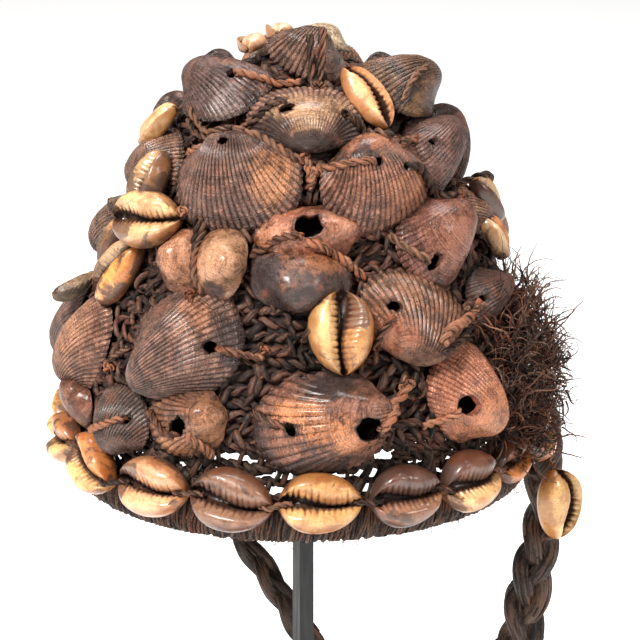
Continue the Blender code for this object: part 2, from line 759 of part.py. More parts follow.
def build_stand():
    """Base plate, rod and the turned head that the crown rests on."""
    bpy.ops.mesh.primitive_cube_add(size=1)
    base = bpy.context.object
    base.name = "stand_base"
    base.data.transform(Matrix.Diagonal((BASE_SIDE, BASE_SIDE, BASE_THICK, 1)))
    base.location.z = BASE_THICK / 2
    edge = base.modifiers.new("edge", "BEVEL")
    edge.width = BASE_EDGE
    edge.segments = 2
    crown = RIM_HEIGHT + NETTING[-1][0] * MM - NET_THICK - HEAD_CLEAR
    head_low = crown - HEAD_THICK
    bpy.ops.mesh.primitive_cube_add(size=1)
    rod = bpy.context.object
    rod.name = "stand_rod"
    low = BASE_THICK + GAP
    tall = head_low - GAP - low
    rod.data.transform(Matrix.Diagonal((ROD_SIDE, ROD_SIDE, tall, 1)))
    rod.location = (ROD_PLACE, 0, low + tall / 2)
    rod.rotation_euler.z = math.radians(ROD_TURN)
    for thing in (base, rod):
        for holder in list(thing.users_collection):
            holder.objects.unlink(thing)
        PARTS.objects.link(thing)
        thing.data.materials.append(material(thing.name, STEEL, 0.45, 0.8))
    outline = [
        (0, HEAD_THICK),
        (0.45 * HEAD_RADIUS, HEAD_THICK - 0.6 * MM),
        (0.85 * HEAD_RADIUS, HEAD_THICK - 3.0 * MM),
        (HEAD_RADIUS, HEAD_THICK - 4.6 * MM),
        (HEAD_RADIUS, 0.4 * MM),
        (HEAD_RADIUS - 0.4 * MM, 0),
        (0, 0),
    ]
    head = turned("stand_head", outline, 24)
    head.location.z = head_low
    head.data.materials.append(material("stand_head", STEEL, 0.6))


for old in list(bpy.data.objects):
    bpy.data.objects.remove(old)
PARTS = fresh_collection("shell_hat")
CUTTERS = fresh_collection("cutters")
build_cap()
build_band()
build_rim()
build_front_shells()
build_back_rows()
build_strap()
build_stand()
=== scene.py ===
"""Looks of the shell hat: shells, cowries, knotted cord, twine, tuft, strap and stand.

Metres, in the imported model's frame. The hat's front faces -Y. Azimuths run from the
front towards +X, and heights are over the rim's underside.
"""

import json
import math
from collections import namedtuple

import bmesh
import bpy
import numpy as np
from mathutils import Matrix, Vector
from mathutils.bvhtree import BVHTree

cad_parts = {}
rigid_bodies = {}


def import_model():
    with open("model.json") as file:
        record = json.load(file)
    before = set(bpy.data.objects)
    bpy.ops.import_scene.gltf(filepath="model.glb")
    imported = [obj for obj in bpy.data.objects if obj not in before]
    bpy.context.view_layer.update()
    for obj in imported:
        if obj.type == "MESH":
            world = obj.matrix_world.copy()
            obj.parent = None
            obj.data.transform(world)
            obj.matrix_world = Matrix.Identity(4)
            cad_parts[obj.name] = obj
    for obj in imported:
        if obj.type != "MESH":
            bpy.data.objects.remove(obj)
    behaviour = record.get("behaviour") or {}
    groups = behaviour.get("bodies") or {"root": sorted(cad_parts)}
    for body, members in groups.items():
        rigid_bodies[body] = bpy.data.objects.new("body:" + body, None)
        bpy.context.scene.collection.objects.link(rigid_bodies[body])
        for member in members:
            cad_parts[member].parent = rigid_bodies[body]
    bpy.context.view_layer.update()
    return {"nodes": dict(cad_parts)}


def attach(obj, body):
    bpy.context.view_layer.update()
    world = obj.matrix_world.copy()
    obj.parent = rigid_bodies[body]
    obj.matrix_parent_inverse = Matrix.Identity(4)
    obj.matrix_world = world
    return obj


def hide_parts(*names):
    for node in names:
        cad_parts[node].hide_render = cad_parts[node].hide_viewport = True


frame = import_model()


# ---------------------------------------------------------------- camera and light
# A long lens looks down a little from the front. Of the three large soft lamps one is at
# the upper left, one at the right and one overhead, in a dim white room.

MM = 0.001
CAMERA_TARGET = Vector((6.3, 0, 238)) * MM
CAMERA_DISTANCE = 1080 * MM
CAMERA_ELEVATION = math.radians(17.5)
CAMERA_LENS = 191.2
SENSOR_WIDTH = 36
ROOM_LIGHT = 0.1

scene = bpy.context.scene
back = Vector((0, -math.cos(CAMERA_ELEVATION), math.sin(CAMERA_ELEVATION)))
camera = bpy.data.objects.new("camera", bpy.data.cameras.new("camera"))
scene.collection.objects.link(camera)
camera.location = CAMERA_TARGET + back * CAMERA_DISTANCE
camera.rotation_mode = "QUATERNION"
camera.rotation_quaternion = (-back).to_track_quat("-Z", "Y")
camera.data.lens = CAMERA_LENS
camera.data.sensor_width = SENSOR_WIDTH
camera.data.clip_start = 0.05
scene.camera = camera
scene.view_settings.view_transform = "Standard"
scene.view_settings.look = "None"


def area_lamp(name, place, target, size, power, colour):
    lamp = bpy.data.objects.new(name, bpy.data.lights.new(name, "AREA"))
    scene.collection.objects.link(lamp)
    lamp.data.shape = "RECTANGLE"
    lamp.data.size, lamp.data.size_y = size
    lamp.data.energy = power
    lamp.data.color = colour
    lamp.location = place
    lamp.rotation_mode = "QUATERNION"
    aim = Vector(target) - Vector(place)
    lamp.rotation_quaternion = aim.to_track_quat("-Z", "Y")


area_lamp("key", (-0.6, -0.8, 1.25), (0, 0, 0.25), (0.34, 0.34), 36, (1, 0.98, 0.95))
area_lamp("fill", (0.95, -0.75, 0.95), (0, 0, 0.25), (0.36, 0.5), 9, (1, 0.985, 0.96))
area_lamp("top", (0.1, 0.3, 1.35), (0, 0, 0.28), (0.5, 0.4), 13, (1, 0.99, 0.98))

world = bpy.data.worlds.new("studio")
world.use_nodes = True
world.node_tree.nodes["Background"].inputs["Color"].default_value = (1, 1, 1, 1)
world.node_tree.nodes["Background"].inputs["Strength"].default_value = ROOM_LIGHT
scene.world = world


# ---------------------------------------------------------------- floor
# One pale sweep of paper under the stand, faintly mottled, lit a little from within.
# It carries the stand's plate. Surface is how every material here is put together.


class Surface:
    """A node material under construction. Values may be numbers, colours or sockets."""

    def __init__(self, name):
        self.material = bpy.data.materials.new(name)
        self.material.use_nodes = True
        self.tree = self.material.node_tree
        self.shader = self.tree.nodes["Principled BSDF"]
        self.place = self.node("ShaderNodeTexCoord").outputs["Object"]

    def node(self, kind, **settings):
        made = self.tree.nodes.new(kind)
        for name, value in settings.items():
            setattr(made, name, value)
        return made

    def put(self, socket, value):
        if isinstance(value, bpy.types.NodeSocket):
            self.tree.links.new(value, socket)
        elif socket.type == "RGBA" and len(value) == 3:
            socket.default_value = (*value, 1)
        else:
            socket.default_value = value

    def set(self, name, value):
        self.put(self.shader.inputs[name], value)

    def math(self, operation, first, second, clamp=False):
        made = self.node("ShaderNodeMath", operation=operation, use_clamp=clamp)
        self.put(made.inputs[0], first)
        self.put(made.inputs[1], second)
        return made.outputs[0]

    def add(self, first, second, clamp=False):
        return self.math("ADD", first, second, clamp)

    def times(self, first, second):
        return self.math("MULTIPLY", first, second)

    def swing(self, value, gain):
        """How far a value is from its middle, a half, times gain."""
        return self.times(self.math("SUBTRACT", value, 0.5), gain)

    def span(self, value, low, high, to_low=0.0, to_high=1.0):
        made = self.node("ShaderNodeMapRange", interpolation_type="SMOOTHSTEP")
        for socket, part in zip(made.inputs, (value, low, high, to_low, to_high)):
            self.put(socket, part)
        return made.outputs[0]

    def mix(self, share, first, second, blend="MIX"):
        made = self.node("ShaderNodeMix", data_type="RGBA", blend_type=blend)
        self.put(made.inputs["Factor"], share)
        self.put(made.inputs[6], first)
        self.put(made.inputs[7], second)
        return made.outputs[2]

    def contrast(self, colour, power, gain):
        made = self.node("ShaderNodeGamma")
        self.put(made.inputs["Color"], colour)
        self.put(made.inputs["Gamma"], power)
        return self.mix(1.0, made.outputs[0], (gain, gain, gain), "MULTIPLY")

    def scaled(self, vector, scale):
        made = self.node("ShaderNodeVectorMath", operation="MULTIPLY")
        self.put(made.inputs[0], vector)
        self.put(made.inputs[1], scale)
        return made.outputs[0]

    def noise(self, scale, detail=3.0, vector=None, rough=0.55, warp=0.0):
        made = self.node("ShaderNodeTexNoise")
        self.put(made.inputs["Vector"], vector or self.place)
        self.put(made.inputs["Scale"], scale)
        self.put(made.inputs["Detail"], detail)
        self.put(made.inputs["Roughness"], rough)
        self.put(made.inputs["Distortion"], warp)
        return made.outputs["Fac"]

    def cells(self, scale):
        made = self.node("ShaderNodeTexVoronoi")
        self.put(made.inputs["Vector"], self.place)
        self.put(made.inputs["Scale"], scale)
        return made.outputs["Distance"]

    def lines(self, value, count, detail=2.0):
        made = self.node("ShaderNodeTexNoise", noise_dimensions="1D")
        self.put(made.inputs["W"], value)
        self.put(made.inputs["Scale"], count)
        self.put(made.inputs["Detail"], detail)
        return made.outputs["Fac"]

    def attribute(self, name):
        return self.node("ShaderNodeAttribute", attribute_name=name).outputs["Fac"]

    def uv(self, name):
        return self.node("ShaderNodeUVMap", uv_map=name).outputs["UV"]

    def bump(self, height, distance, strength=1.0):
        made = self.node("ShaderNodeBump")
        self.put(made.inputs["Height"], height)
        self.put(made.inputs["Distance"], distance)
        self.put(made.inputs["Strength"], strength)
        before = self.shader.inputs["Normal"].links
        if before:
            self.put(made.inputs["Normal"], before[0].from_socket)
        self.set("Normal", made.outputs[0])


def srgb(red, green, blue):
    """A colour given as eight-bit screen values."""
    channels = (red / 255, green / 255, blue / 255)
    return tuple(c / 12.92 if c < 0.04 else ((c + 0.055) / 1.055) ** 2.4 for c in channels)


bpy.ops.mesh.primitive_plane_add(size=14)
floor = bpy.context.object
floor.name = "floor"
paper = Surface("floor_paper")
paper.set("Base Color", paper.mix(paper.noise(3.0), (0.93, 0.93, 0.93), (0.96, 0.96, 0.96)))
paper.set("Roughness", 0.9)
paper.set("Emission Color", (1, 1, 1))
paper.set("Emission Strength", 0.55)
floor.data.materials.append(paper.material)


# ---------------------------------------------------------------- chin strap
# A flat braid of three bundles of split plant fibre, tied behind the rim. It is thin
# there and swells to the lower right, where it turns up to the rim's right side.


def new_piece(name, mesh, material):
    """An object of the mesh, in the scene and in its material."""
    thing = bpy.data.objects.new(name, mesh)
    scene.collection.objects.link(thing)
    thing.data.materials.append(material)
    return thing


class Bundle:
    """Many small forms gathered into one mesh, with a tone for each and a UV map."""

    def __init__(self):
        self.points = []
        self.quads = []
        self.tris = []
        self.tones = []
        self.uvs = []
        self.count = 0

    def add(self, points, quads, tris=None, tone=0.5, uv=None):
        points = np.asarray(points, dtype=np.float32)
        self.points.append(points)
        if len(quads):
            self.quads.append(np.asarray(quads) + self.count)
        if tris is not None and len(tris):
            self.tris.append(np.asarray(tris) + self.count)
        self.tones.append(np.full(len(points), tone, dtype=np.float32))
        self.uvs.append(np.zeros((len(points), 2)) if uv is None else uv)
        self.count += len(points)

    def mesh(self, name):
        points = np.concatenate(self.points)
        quads = np.concatenate(self.quads) if self.quads else np.zeros((0, 4), int)
        tris = np.concatenate(self.tris) if self.tris else np.zeros((0, 3), int)
        made = bpy.data.meshes.new(name)
        made.vertices.add(len(points))
        made.vertices.foreach_set("co", points.ravel())
        loops = np.concatenate([quads.ravel(), tris.ravel()]).astype(np.int32)
        made.loops.add(len(loops))
        made.loops.foreach_set("vertex_index", loops)
        starts = np.arange(len(quads)) * 4
        rest = len(quads) * 4 + np.arange(len(tris)) * 3
        made.polygons.add(len(quads) + len(tris))
        made.polygons.foreach_set("loop_start", np.concatenate([starts, rest]))
        made.update(calc_edges=True)
        made.validate()
        made.shade_smooth()
        tone = made.attributes.new("tone", "FLOAT", "POINT")
        tone.data.foreach_set("value", np.concatenate(self.tones))
        layer = made.uv_layers.new(name="fibre")
        flat = np.concatenate(self.uvs).astype(np.float32)
        order = np.zeros(len(made.loops), dtype=np.int32)
        made.loops.foreach_get("vertex_index", order)
        layer.data.foreach_set("uv", flat[order].ravel())
        return made

    def piece(self, name, material):
        return new_piece(name, self.mesh(name), material)


STOP_SAMPLES = 24


def smooth_path(stops, step):
    """Points a step apart on a smooth curve through the stops."""
    stops = np.asarray(stops, dtype=float)
    ends = np.vstack([2 * stops[0] - stops[1], stops, 2 * stops[-1] - stops[-2]])
    t = np.linspace(0, 1, STOP_SAMPLES, endpoint=False)[:, None]
    fine = []
    for a, b, c, d in zip(ends, ends[1:], ends[2:], ends[3:]):
        square, cube = 2 * a - 5 * b + 4 * c - d, 3 * b - a - 3 * c + d
        fine.append(0.5 * (2 * b + (c - a) * t + square * t**2 + cube * t**3))
    fine = np.vstack([*fine, stops[-1:]])
    reach = np.concatenate([[0], np.cumsum(np.linalg.norm(np.diff(fine, axis=0), axis=1))])
    count = max(4, int(round(reach[-1] / step)) + 1)
    goal = np.linspace(0, reach[-1], count)
    return np.stack([np.interp(goal, reach, fine[:, k]) for k in range(3)], axis=1)


def frames_along(path, closed=False):
    """Tangents and two steady side directions at each point of a path."""
    if closed:
        tangents = np.roll(path, -1, axis=0) - np.roll(path, 1, axis=0)
    else:
        tangents = np.gradient(path, axis=0)
    tangents /= np.linalg.norm(tangents, axis=1)[:, None] + 1e-12
    side = np.zeros_like(path)
    start = np.cross(tangents[0], (0.31, 0.17, 0.93))
    side[0] = start / np.linalg.norm(start)
    for i in range(1, len(path)):
        moved = side[i - 1] - tangents[i] * np.dot(side[i - 1], tangents[i])
        side[i] = moved / (np.linalg.norm(moved) + 1e-12)
    return tangents, side, np.cross(tangents, side)


def add_tube(bundle, path, radii, sides, tone=0.5, ribs=None, closed=False):
    """A tube along a path. ribs is a list of radius factors, one a side."""
    count = len(path)
    _, side, other = frames_along(path, closed)
    angles = 2 * np.pi * np.arange(sides) / sides
    factor = np.ones(sides) if ribs is None else np.asarray(ribs)
    radii = np.broadcast_to(np.asarray(radii, dtype=float), (count,))
    spread = (np.cos(angles) * factor)[None, :, None] * side[:, None, :]
    spread = spread + (np.sin(angles) * factor)[None, :, None] * other[:, None, :]
    rings = path[:, None, :] + spread * radii[:, None, None]
    points = rings.reshape(-1, 3)
    i = np.arange(count if closed else count - 1)[:, None]
    j = np.arange(sides)[None, :]
    k = (j + 1) % sides
    here, there = i * sides, (i + 1) % count * sides
    quads = np.stack([here + j, here + k, there + k, there + j], axis=-1).reshape(-1, 4)
    steps = np.linalg.norm(np.diff(path, axis=0), axis=1)
    along = np.concatenate([[0], np.cumsum(steps)]) / MM
    uv = np.zeros((count, sides, 2))
    uv[:, :, 0] = along[:, None]
    uv[:, :, 1] = np.minimum(np.arange(sides), sides - np.arange(sides))[None, :] / sides
    uv = uv.reshape(-1, 2)
    tris = None
    if not closed:
        points = np.vstack([points, path[:1], path[-1:]])
        uv = np.vstack([uv, uv[:1], uv[-1:]])
        first, last = count * sides, count * sides + 1
        k = np.arange(sides)
        low = np.stack([(k + 1) % sides, k, np.full(sides, first)], axis=1)
        base = (count - 1) * sides
        high = np.stack([base + k, base + (k + 1) % sides, np.full(sides, last)], axis=1)
        tris = np.vstack([low, high])
    bundle.add(points, quads, tris, tone, uv)


def on_root(thing, slot, *replaced):
    """Fixes a piece to the root body and hides the solids that it stands for. slot is not used."""
    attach(thing, "root")
    if replaced:
        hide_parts(*replaced)


def fibre_material(name, dark, light, rust, rust_share, dullness=0.5, streak=4.5):
    """Dark and light strands along the cord, split by cracks, with reddish patches."""
    made = Surface(name)
    uv = made.uv("fibre")
    tone = made.attribute("tone")
    shift = made.node("ShaderNodeCombineXYZ")
    made.put(shift.inputs["Z"], made.times(tone, 37.0))
    shifted = made.node("ShaderNodeVectorMath", operation="ADD")
    made.put(shifted.inputs[0], made.scaled(uv, (0.08, streak, 1)))
    made.put(shifted.inputs[1], shift.outputs[0])
    strands = made.noise(1.6, 4.0, shifted.outputs[0], 0.75)
    patches = made.noise(110.0, 3.0)
    grain = made.noise(1300.0, 3.0, rough=0.7)
    shade = made.add(made.swing(strands, 1.5), made.times(tone, 0.5))
    shade = made.add(shade, made.swing(grain, 0.6))
    colour = made.mix(made.span(shade, 0.0, 0.55), dark, light)
    colour = made.mix(made.span(strands, 0.38, 0.48, 0.85, 0.0), colour, tuple(0.3 * c for c in dark))
    rust_patch = made.span(patches, 0.56 - rust_share, 0.66 - rust_share)
    rusty = made.times(rust_patch, made.span(strands, 0.45, 0.55, 0.0, 0.8))
    colour = made.mix(rusty, colour, rust)
    made.set("Base Color", colour)
    made.set("Roughness", made.span(strands, 0.3, 0.7, dullness + 0.15, dullness - 0.1))
    made.set("Specular IOR Level", 0.25)
    made.bump(strands, 0.6 * MM, 1.0)
    made.bump(grain, 0.16 * MM, 0.6)
    return made.material


STRAP_FIBRE = fibre_material(
    "strap_fibre", srgb(28, 20, 17), srgb(100, 78, 66), srgb(104, 66, 48), 0.0, dullness=0.46, streak=14.0
)

# The braid's middle line, in millimetres from the hat's middle and the rim's underside.
STRAP_STOPS = [
    (-41.5, 55.5, -1.5),
    (-40, 55.5, -11),
    (-34, 52.5, -23),
    (-26, 48.5, -35),
    (-17.5, 43.5, -46.5),
    (-8, 38, -59.5),
    (2, 31.5, -74),
    (13.5, 24.5, -89),
    (26, 18.5, -103.5),
    (38, 13.5, -114),
    (51, 9.5, -118),
    (62, 6.5, -110),
    (68.5, 4, -96),
    (71, 3, -80),
    (72.2, 2.5, -62),
    (74.6, 1.5, -43),
    (78.2, 0.5, -25),
    (78.8, 0, -11),
    (76.5, 0, -1.5),
]
RIM_HEIGHT = 190 * MM
STRAP_LENGTH = 0.289
# The braid's radius in millimetres at shares of its length.
STRAP_GROWTH = [(0, 3.7), (0.35, 4.2), (0.55, 5.2), (0.68, 6.4), (0.82, 6.7), (0.93, 5.8), (1, 5.2)]

rng = np.random.default_rng(11)
strap_stops = [(x * MM, y * MM, RIM_HEIGHT + z * MM) for x, y, z in STRAP_STOPS]
strap_path = smooth_path(strap_stops, 1.5 * MM)
share = np.linspace(0, 1, len(strap_path))
strap_radius = np.interp(share, *zip(*STRAP_GROWTH)) * MM
# Swing, depth and a bundle's radius are shares of the braid's radius.
BRAID_PITCH = 44 * MM
BRAID_SWING = 0.52
BRAID_DEPTH = 0.34
BUNDLE_SHARE = 0.56
BUNDLE_SIDES = 22
STRAP_STRAWS = 190
LOOSE_SHARE = 0.3

strap_way = np.gradient(strap_path, axis=0)
strap_way /= np.linalg.norm(strap_way, axis=1)[:, None]
strap_side = np.cross(strap_way, (0.2, -0.93, 0.3))
strap_side /= np.linalg.norm(strap_side, axis=1)[:, None]
strap_front = np.cross(strap_side, strap_way)


def braid_line(ply, steps=slice(None)):
    """Where one of the braid's three bundles runs, at the path's points given by steps."""
    turn = 2 * np.pi * (share[steps] * STRAP_LENGTH / BRAID_PITCH + ply / 3)
    swing = BRAID_SWING * np.sin(turn)[:, None] * strap_side[steps]
    swing = swing + BRAID_DEPTH * np.sin(2 * turn + 0.4)[:, None] * strap_front[steps]
    return strap_path[steps] + swing * strap_radius[steps][:, None]


strap_bundle = Bundle()
for ply in range(3):
    crossing = 4 * np.pi * (share * STRAP_LENGTH / BRAID_PITCH + ply / 3)
    swell = BUNDLE_SHARE * (1 + 0.08 * np.sin(share * 41 + ply * 2.1)) * (1 - 0.12 * np.cos(crossing))
    straws = 1 + rng.uniform(-0.16, 0.1, BUNDLE_SIDES)
    add_tube(strap_bundle, braid_line(ply), strap_radius * swell, BUNDLE_SIDES, 0.25 + 0.2 * ply, straws)
for _ in range(STRAP_STRAWS):
    start = rng.integers(0, len(share) - 24)
    span = slice(start, start + rng.integers(10, 24))
    line = braid_line(rng.integers(0, 3), span)
    lie = rng.uniform(0, 2 * np.pi) + np.linspace(0, rng.uniform(-0.3, 0.3), len(line))
    lift = np.cos(lie)[:, None] * strap_side[span] + np.sin(lie)[:, None] * strap_front[span]
    stands_off = rng.uniform() < LOOSE_SHARE
    loose = 0.55 + (rng.uniform(0, 0.12) * np.linspace(0, 1, len(line)) ** 3 if stands_off else 0)
    centre = line + lift * (strap_radius[span] * loose)[:, None]
    add_tube(strap_bundle, centre, rng.uniform(0.2, 0.5) * MM, 4, rng.uniform(0.1, 1))
chin_strap = strap_bundle.piece("chin_strap_cord", STRAP_FIBRE)
on_root(chin_strap, "knotted_fibre", "chin_strap")


# ---------------------------------------------------------------- cowries round the rim
# Glazed shells laid belly outwards end to end on a thread. Each belly has a slit with
# teeth across its lips. The slit and the grooves between the teeth are darkened by grime
# and by painted shade.


def seat(azimuth, radius, height, slope, turn=0.0, side=0.0):
    """A place on the hat in metres: +Z out of it, +Y up it, turned clockwise as seen."""
    round_hat = Matrix.Rotation(math.radians(azimuth), 4, "Z")
    out = Matrix.Translation((0, -radius * MM, RIM_HEIGHT + height * MM))
    face = Matrix.Rotation(math.radians(90) - slope, 4, "X")
    lean = Matrix.Rotation(math.radians(side), 4, "Y")
    return round_hat @ out @ face @ lean @ Matrix.Rotation(math.radians(-turn), 4, "Z")


def moved(points, matrix):
    """Points carried out of a seat's own frame."""
    turn = np.array(matrix.to_3x3())
    return points @ turn.T + np.array(matrix.translation)


class Outline:
    """The convex room that a shell takes, and that what lies under it keeps out of."""

    def __init__(self, points):
        hull = bmesh.new()
        for point in points:
            hull.verts.new(point)
        bmesh.ops.convex_hull(hull, input=hull.verts)
        middle = points.mean(axis=0)
        normals, offsets = [], []
        for face in hull.faces:
            normal = np.array(face.normal)
            centre = np.array(face.calc_center_median())
            if face.calc_area() < 1e-9:
                continue
            if np.dot(normal, centre - middle) < 0:
                normal = -normal
            normals.append(normal)
            offsets.append(np.dot(normal, centre) + 0.15 * MM)
        hull.free()
        self.normals = np.array(normals)
        self.offsets = np.array(offsets)
        self.low, self.high = points.min(axis=0), points.max(axis=0)

    def press(self, points, way):
        """Moves the points inside the outline along way, until they are out of it."""
        if (points.min(axis=0) > self.high).any() or (points.max(axis=0) < self.low).any():
            return points
        room = self.offsets[None, :] - points @ self.normals.T
        inside = (room > 0).all(axis=1)
        if not inside.any():
            return points
        speed = self.normals @ way
        ahead = speed > 1e-4
        travel = room[inside][:, ahead] / speed[ahead]
        points = points.copy()
        points[inside] += travel.min(axis=1)[:, None] * way
        return points


outlines = []


def tuck(points, matrix):
    """Presses points inwards, out of the room of every shell made so far."""
    way = -np.array(matrix.to_3x3().col[2].normalized())
    for outline in outlines:
        points = outline.press(points, way)
    return points


def soft_noise(points, scale, seed):
    """A smooth wandering value at each point, about -1 to 1."""
    rng = np.random.default_rng(seed)
    total = np.zeros(len(points))
    for octave in range(3):
        for _ in range(4):
            way = rng.normal(size=3)
            way *= (2**octave) / (scale * np.linalg.norm(way))
            total += np.sin(points @ way * 2 * np.pi + rng.uniform(0, 6.3)) / (2**octave)
    return total / 4


def ring_quads(rings, columns, start=0, flip=False):
    """The faces between rings of points, each ring closed."""
    i = np.arange(rings - 1)[:, None]
    j = np.arange(columns)[None, :]
    k = (j + 1) % columns
    corners = [i * columns + j, i * columns + k, (i + 1) * columns + k, (i + 1) * columns + j]
    quads = np.stack(corners, axis=-1)
    quads = quads.reshape(-1, 4) + start
    return quads[:, ::-1] if flip else quads


def mesh_with(name, points, faces, marks):
    """A mesh with one named value a point for each of marks."""
    made = bpy.data.meshes.new(name)
    made.from_pydata(points.tolist(), [], faces)
    for mark, values in marks.items():
        layer = made.attributes.new(mark, "FLOAT", "POINT")
        layer.data.foreach_set("value", values.astype(np.float32))
    made.shade_smooth()
    return made


def joined(name, parts):
    """One mesh of several parts, each given as its points, faces and marks."""
    points, faces, marks = [], [], {}
    count = 0
    for own, own_faces, own_marks in parts:
        points.append(own)
        faces += [[v + count for v in face] for face in own_faces]
        count += len(own)
        for mark, values in own_marks.items():
            marks.setdefault(mark, []).append(values)
    marks = {mark: np.concatenate(values) for mark, values in marks.items()}
    return mesh_with(name, np.vstack(points), faces, marks)


# A cowrie is lofted from sections across it. Each climbs from the slit's floor up the lip
# and comes down the flank to the back. Back, front and lip are shares of the width.
SECTIONS = 67
FAR_SECTIONS = 45
FAR_FROM = 96
TIP = 0.992
TOOTH_DEPTH = 0.6 * MM
TEETH = 14
BACK_SHARE = 0.17
FRONT_SHARE = 0.35
LIP_DEPTH = 0.17
SLOT_DROPS = (3.4, 1.3)
LIP_STEPS = (1.0, 0.86, 0.7, 0.54, 0.38, 0.22, 0.1)
FLANK_STEPS = (0.0, 0.1, 0.2, 0.32, 0.46, 0.6, 0.74, 0.86, 0.95, 1.0)


def cowrie_points(row):
    """Points, faces and marks of one cowrie, its long axis along Y."""
    rng = np.random.default_rng(sum(ord(c) for c in row.name) + int(row.azimuth) + 400)
    sections = SECTIONS if abs(row.azimuth) < FAR_FROM else FAR_SECTIONS
    ends = np.linspace(-TIP, TIP, sections)
    length, width = row.length * MM, row.width * MM
    half = width / 2 * (1 - np.abs(ends) ** 2.2) ** 0.6 * (1 - row.taper * ends)
    half = np.maximum(half, 0.045 * width)
    crown = width * FRONT_SHARE * (1 - np.abs(ends) ** 2.8) ** 0.6
    middle = half * row.slit + width * 0.05 * np.sin(ends * 2.8 + 0.6)
    open_end = np.clip(-ends * 1.3, -0.3, 1) * np.clip((1 - np.abs(ends)) / 0.25, 0.3, 1)
    gap = np.minimum(row.open * width * (0.055 + 0.085 * open_end) + 0.1 * MM, half * 0.45)
    bite = np.clip((0.93 - np.abs(ends)) / 0.12, 0, 1)
    phase = ends * TEETH * np.pi + 0.5 * np.sin(ends * 5 + rng.uniform(0, 6))
    phase = phase + 0.45 * np.sin(ends * 17 + rng.uniform(0, 6))
    base = width * BACK_SHARE
    columns, grooves, slit_grime_and_shade_levels, sides = [], [], [], []
    for side in (-1, 1):
        turned = phase + (1.1 if side > 0 else 0)
        tooth = np.floor(turned / (2 * np.pi)).astype(int)
        uneven = rng.uniform(0.85, 1.5, 40)[tooth]
        notch = (0.5 - 0.5 * np.cos(turned)) ** 1.8 * bite * (0.75 + 0.25 * rng.uniform(-1, 1, 40)[tooth])
        lip = half - side * middle
        share = (0.25 if side < 0 else 0.19) * (1 + 0.25 * open_end)
        crest = np.minimum(width * share + gap * 0.4, lip * 0.62)
        reach = (1.3 if side < 0 else 0.65) * row.teeth * uneven
        depth = np.minimum(width * LIP_DEPTH, crown * 0.75)
        steps = []
        for drop, inward in zip(SLOT_DROPS, (0.45, 0.85)):
            floor_z = base + crown - depth - drop * MM * np.clip(crown / (0.2 * width), 0.1, 1)
            # The slit's floor is painted dark: painted shade down in it, with grime.
            deep = 1.0 - 0.3 * (inward > 0.5)
            steps.append((gap * inward, np.maximum(floor_z, base * 0.3), notch * 0, deep))
        for step in LIP_STEPS:
            out = gap + (crest - gap) * (1 - step)
            out = out - gap * 0.5 * (1 - notch) * step**2 * bite
            window = np.clip(1 - (1 - step) / reach, 0, 1) ** 0.45
            z = base + crown - depth * step**1.6 - TOOTH_DEPTH * notch * window
            steps.append((out, z, notch * window, np.clip((step - 0.5) / 0.5, 0, 1) * 0.55))
        for step in FLANK_STEPS:
            out = crest + step * (lip - crest)
            window = np.clip(1 - (1 + 1.9 * step) / reach, 0, 1) ** 0.45
            z = base + crown * (1 - step**2.3) ** 0.55 - TOOTH_DEPTH * notch * window
            steps.append((out, z, notch * window, 0.0))
        if side < 0:
            steps = steps[::-1]
        for out, z, groove, deep in steps:
            columns.append(np.stack([middle + side * out, ends * length / 2, z], axis=1))
            grooves.append(groove)
            slit_grime_and_shade_levels.append(np.broadcast_to(deep, ends.shape))
            sides.append(np.full(sections, side))
    flank = np.stack(columns, axis=1)
    under = {-1: [], 1: []}
    for share, level in ((0.97, 0.55), (0.84, 0.15), (0.6, 0.0)):
        for side, edge in ((-1, flank[:, 0]), (1, flank[:, -1])):
            ring = edge * (share, 1 - 0.06 * (1 - level), 0) + (0, 0, base * level)
            under[side].append(ring)
    rings = under[-1][::-1] + [flank[:, i] for i in range(flank.shape[1])] + under[1]
    grid = np.stack(rings, axis=1)
    total = grid.shape[1]
    lumps = soft_noise(grid.reshape(-1, 3) + rng.uniform(0, 1, 3), 9 * MM, 3).reshape(grid.shape[:2])
    grid[:, :, 2] += 0.14 * MM * lumps * (grid[:, :, 2] > base)
    points = grid.reshape(-1, 3)
    faces = ring_quads(sections, total, 0, True).tolist()
    faces.append(list(range(total)))
    faces.append(list(range((sections - 1) * total, sections * total))[::-1])

    def fill(parts, low, high):
        block = np.stack(parts, axis=1)
        left_under, right_under = np.full((sections, 3), low), np.full((sections, 3), high)
        return np.concatenate([left_under, block, right_under], axis=1).ravel()

    # The groove and slit marks say where grime and painted shade darken the teeth's grooves and the slit.
    marks = {"groove": fill(grooves, 0.0, 0.0), "deep": fill(slit_grime_and_shade_levels, 0.0, 0.0), "side": fill(sides, -1, 1)}
    marks["edge"] = np.abs(points[:, 0]) / np.repeat(half, total)
    marks["end"] = np.repeat(ends, total)
    marks["stain"] = np.full(len(points), row.stain)
    share = np.where(marks["side"] < 0, row.blots[0], row.blots[1])
    reached = np.clip((2 * share - 1 - marks["end"]) / 0.25 + 0.5, 0, 1)
    marks["blot"] = reached * np.clip((0.95 - marks["edge"]) / 0.3, 0, 1) * (share > 0)
    return points, faces, marks, {"left": row.left, "right": row.right}


def cowrie_mesh(name, rows, matrices, pressed=True):
    """The cowries of the rows as one mesh, pressed down under what lies over them."""
    parts, paints = [], {}
    for row, matrix in zip(rows, matrices):
        own, faces, marks, colours = cowrie_points(row)
        own = moved(own, matrix)
        if pressed:
            own = tuck(own, matrix)
        parts.append((own, faces, marks))
        for paint, colour in colours.items():
            paints.setdefault(paint, []).append(np.tile((*srgb(*colour), 1), (len(own), 1)))
    mesh = joined(name, parts)
    for paint, colours in paints.items():
        layer = mesh.attributes.new(paint, "FLOAT_COLOR", "POINT")
        layer.data.foreach_set("color", np.vstack(colours).astype(np.float32).ravel())
    return mesh


